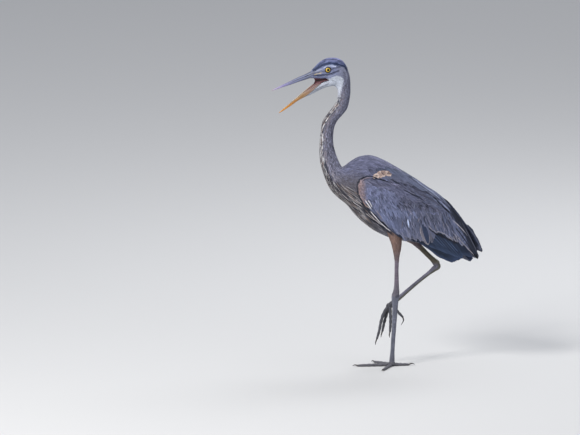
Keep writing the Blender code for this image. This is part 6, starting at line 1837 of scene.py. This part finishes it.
    # tongue: a narrow pointed strip lying in the trough
    n = 60
    q = np.linspace(0, 1, n)
    tab = np.array([(-206, 840.5), (-229, 832), (-247, 822.5), (-265, 811), (-281, 800.5)])
    cx, cz = cr(tab, q * 4).T
    f = np.arange(16) * 2 * math.pi / 16
    wdt = 3.0 * (1 - q) ** 0.55 * smooth((q + 0.15) / 0.3) + 0.15
    hgt = 1.3 * (1 - q * 0.7)
    tp = np.stack([np.broadcast_to(cx[:, None], (n, 16)) + 0.5 * hgt[:, None] * np.cos(f), wdt[:, None] * np.sin(f), cz[:, None] + 0.85 * hgt[:, None] * np.cos(f)], -1)
    patch.grid(yaw(tp, HEAD_YAW), mix((0.30, 0.09, 0.08), (0.40, 0.22, 0.17), ramp(q, 0.4, 1.0))[:, None, :] * np.ones((1, 16, 1)))
    patch.build("bill_lower_horn", mat, "bill_yellow", ["bill_lower"], sharp=45)


# ------------------------------------------------------------------ eyes and claws
def eyes():
    mat = painted_material("eye_glass", rough=0.30, bump=0.0, scale=700, spec=0.18, coat=0.42, variation=0.06)
    for side, sg in (("left", -1.0), ("right", 1.0)):
        patch = Patch()
        a = np.concatenate([np.linspace(0.01, 1.0, 46), np.linspace(1.06, math.pi - 0.02, 22)])
        f = np.arange(72) * 2 * math.pi / 72
        A, F = np.meshgrid(a, f, indexing="ij")
        rad = EYE_R - 0.05 + 0.35 * (1 - ramp(A, 0.2, 0.80))
        local = np.stack([np.sin(A) * np.cos(F), -np.cos(A), np.sin(A) * np.sin(F)], -1) * rad[..., None]
        local[..., 1] *= -sg
        p = yaw(np.array([EYE[0], sg * EYE[1], EYE[2]]) + local, HEAD_YAW)
        rays = value_noise(np.stack([np.cos(F) * 9, np.sin(F) * 9, A * 2.2], -1), 1.0, 77)
        pupil, limb = 0.395, 0.815
        rgb = mix((0.66, 0.46, 0.055), (0.44, 0.26, 0.022), ramp(A, pupil + 0.08, limb)) * (1 + 0.18 * rays)[..., None]
        rgb = mix(rgb, (0.80, 0.62, 0.10), np.exp(-((A - pupil - 0.07) / 0.05) ** 2) * 0.6)
        # painted shade: the iris is darker towards its top, under the upper lid
        rgb = rgb * (1 - 0.50 * ramp(np.sin(A) * np.sin(F + 0.35), 0.34, 0.66))[..., None]
        rgb = mix(rgb, (0.0015, 0.0015, 0.002), 1 - ramp(A, pupil - 0.012, pupil + 0.012))
        rgb = mix(rgb, (0.012, 0.010, 0.008), ramp(A, limb - 0.03, limb + 0.03))
        if sg < 0:
            p, rgb = p[:, ::-1], rgb[:, ::-1]
        patch.grid(p, np.clip(rgb, 0.001, 0.9))
        patch.build("eye_" + side + "_glass", mat, "eye_yellow", ["eye_" + side], sharp=0)


def claws():
    mat = painted_material("claw_keratin", rough=0.38, bump=0.2, scale=500, spec=0.5, variation=0.2)
    for side, toes in (("left", LEFT_TOES), ("right", RIGHT_TOES)):
        patch = Patch()
        for pts in toes.values():
            t = np.asarray(pts[-3:], float)
            s = np.linspace(0, 2, 34)
            r = cr(t, s)
            c = r[:, :3]
            tan = unit(np.gradient(c, axis=0))
            up = np.array([0.0, 0.0, 1.0]) if side == "left" else np.array([-0.85, 0.0, 0.15])
            up = unit(up - tan * (tan @ up)[:, None])
            ac = np.cross(tan, up)
            f = np.arange(20) * 2 * math.pi / 20
            A, F = np.broadcast_arrays(s[:, None], f[None, :])
            rr = r[:, 3][:, None] * (1 - 0.02 * A)
            ridge = 1 + 0.05 * np.cos(A * 30) * 0.4
            wid = 0.86 * (1 - 0.25 * np.clip(-np.cos(F), 0, 1))
            p = c[:, None] + up[:, None] * (rr * np.cos(F) * ridge)[..., None] + ac[:, None] * (rr * wid * np.sin(F))[..., None]
            if side == "left":
                p[..., 2] = np.maximum(p[..., 2], 0.0)
            rgb = mix((0.075, 0.062, 0.058), (0.022, 0.020, 0.024), ramp(A, 0.2, 1.6)) * (1 + 0.2 * value_noise(p, 2.0, 91))[..., None]
            patch.grid(p, rgb)
        patch.build("claws_" + side, mat, "claw_horn", [f"claw_{side}_{k}" for k in toes], sharp=60)


# ------------------------------------------------------------------ build


skin()
bill(); eyes(); claws()
coat_head(); coat_chin()
coat_neck(); coat_foreneck()
coat_under(); coat_mantle()
coat_wing("left"); coat_wing("right")
coat_scapulars(); coat_tail(); coat_thighs()

# ------------------------------------------------------------------ floor, light, camera
def floor():
    mesh = bpy.data.meshes.new("floor")
    rings, n = [0.6, 2.0, 5.0, 10.0, 18.0, 30.0], 96
    verts = [(0, 0, -0.0005)] + [(r * math.cos(2 * math.pi * k / n), r * math.sin(2 * math.pi * k / n), -0.0005) for r in rings for k in range(n)]
    faces = [(0, 1 + k, 1 + (k + 1) % n) for k in range(n)]
    for i in range(len(rings) - 1):
        faces += [(1 + i * n + k, 1 + (i + 1) * n + k, 1 + (i + 1) * n + (k + 1) % n, 1 + i * n + (k + 1) % n) for k in range(n)]
    mesh.from_pydata(verts, [], faces)
    mesh.update()
    obj = bpy.data.objects.new("floor", mesh)
    bpy.context.scene.collection.objects.link(obj)
    mat, nt, bsdf = nodes_of("studio_floor")
    noise = nt.nodes.new("ShaderNodeTexNoise"); noise.inputs["Scale"].default_value = 3.0
    rmp = nt.nodes.new("ShaderNodeMapRange"); rmp.inputs["To Min"].default_value = 0.58; rmp.inputs["To Max"].default_value = 0.63
    nt.links.new(noise.outputs["Fac"], rmp.inputs["Value"])
    comb = nt.nodes.new("ShaderNodeCombineColor")
    for k in range(3):
        nt.links.new(rmp.outputs[0], comb.inputs[k])
    nt.links.new(comb.outputs[0], bsdf.inputs["Base Color"])
    bsdf.inputs["Roughness"].default_value = 0.9
    bsdf.inputs["Specular IOR Level"].default_value = 0.2
    mesh.materials.append(mat)


floor()


def area(name, loc, target, size, energy, colour):
    light = bpy.data.lights.new(name, "AREA")
    light.shape = "RECTANGLE"
    light.size, light.size_y = size
    light.energy = energy
    light.color = colour
    obj = bpy.data.objects.new(name, light)
    obj.location = loc
    obj.rotation_euler = (Vector(target) - Vector(loc)).to_track_quat("-Z", "Y").to_euler()
    bpy.context.scene.collection.objects.link(obj)


AIM = (0.0, 0.0, 0.5)
area("key", (-2.2, -3.0, 3.6), AIM, (1.25, 1.25), 176.0, (1.0, 0.985, 0.96))
area("fill", (3.2, -2.6, 1.8), AIM, (2.6, 2.6), 20.0, (0.95, 0.97, 1.0))
area("back", (1.2, 2.2, 2.9), AIM, (1.8, 1.8), 48.0, (0.97, 0.98, 1.0))
area("overhead", (0.0, 3.0, 7.0), (0.0, 2.6, 0.0), (10.0, 10.0), 240.0, (0.98, 0.99, 1.0))
world = bpy.data.worlds.new("studio")
bpy.context.scene.world = world
world.use_nodes = True
world.node_tree.nodes["Background"].inputs["Color"].default_value = (0.86, 0.90, 1.0, 1)
world.node_tree.nodes["Background"].inputs["Strength"].default_value = 0.40

az, el, dist = math.radians(6.0), math.radians(10.0), 40.0
target = Vector((-0.3026, 0.0, 0.4393))
direction = Vector((math.sin(az) * math.cos(el), -math.cos(az) * math.cos(el), math.sin(el)))
cam = bpy.data.cameras.new("camera")
cam.sensor_width = 36.0
cam.lens = 36.0 * dist / 1.711
cam.clip_start = 1.0
cam.clip_end = 120.0
camera = bpy.data.objects.new("camera", cam)
camera.location = target + direction * dist
camera.rotation_euler = (-direction).to_track_quat("-Z", "Y").to_euler()
bpy.context.scene.collection.objects.link(camera)
bpy.context.scene.camera = camera
bpy.context.scene.view_settings.view_transform = "Standard"
bpy.context.scene.view_settings.look = "None"
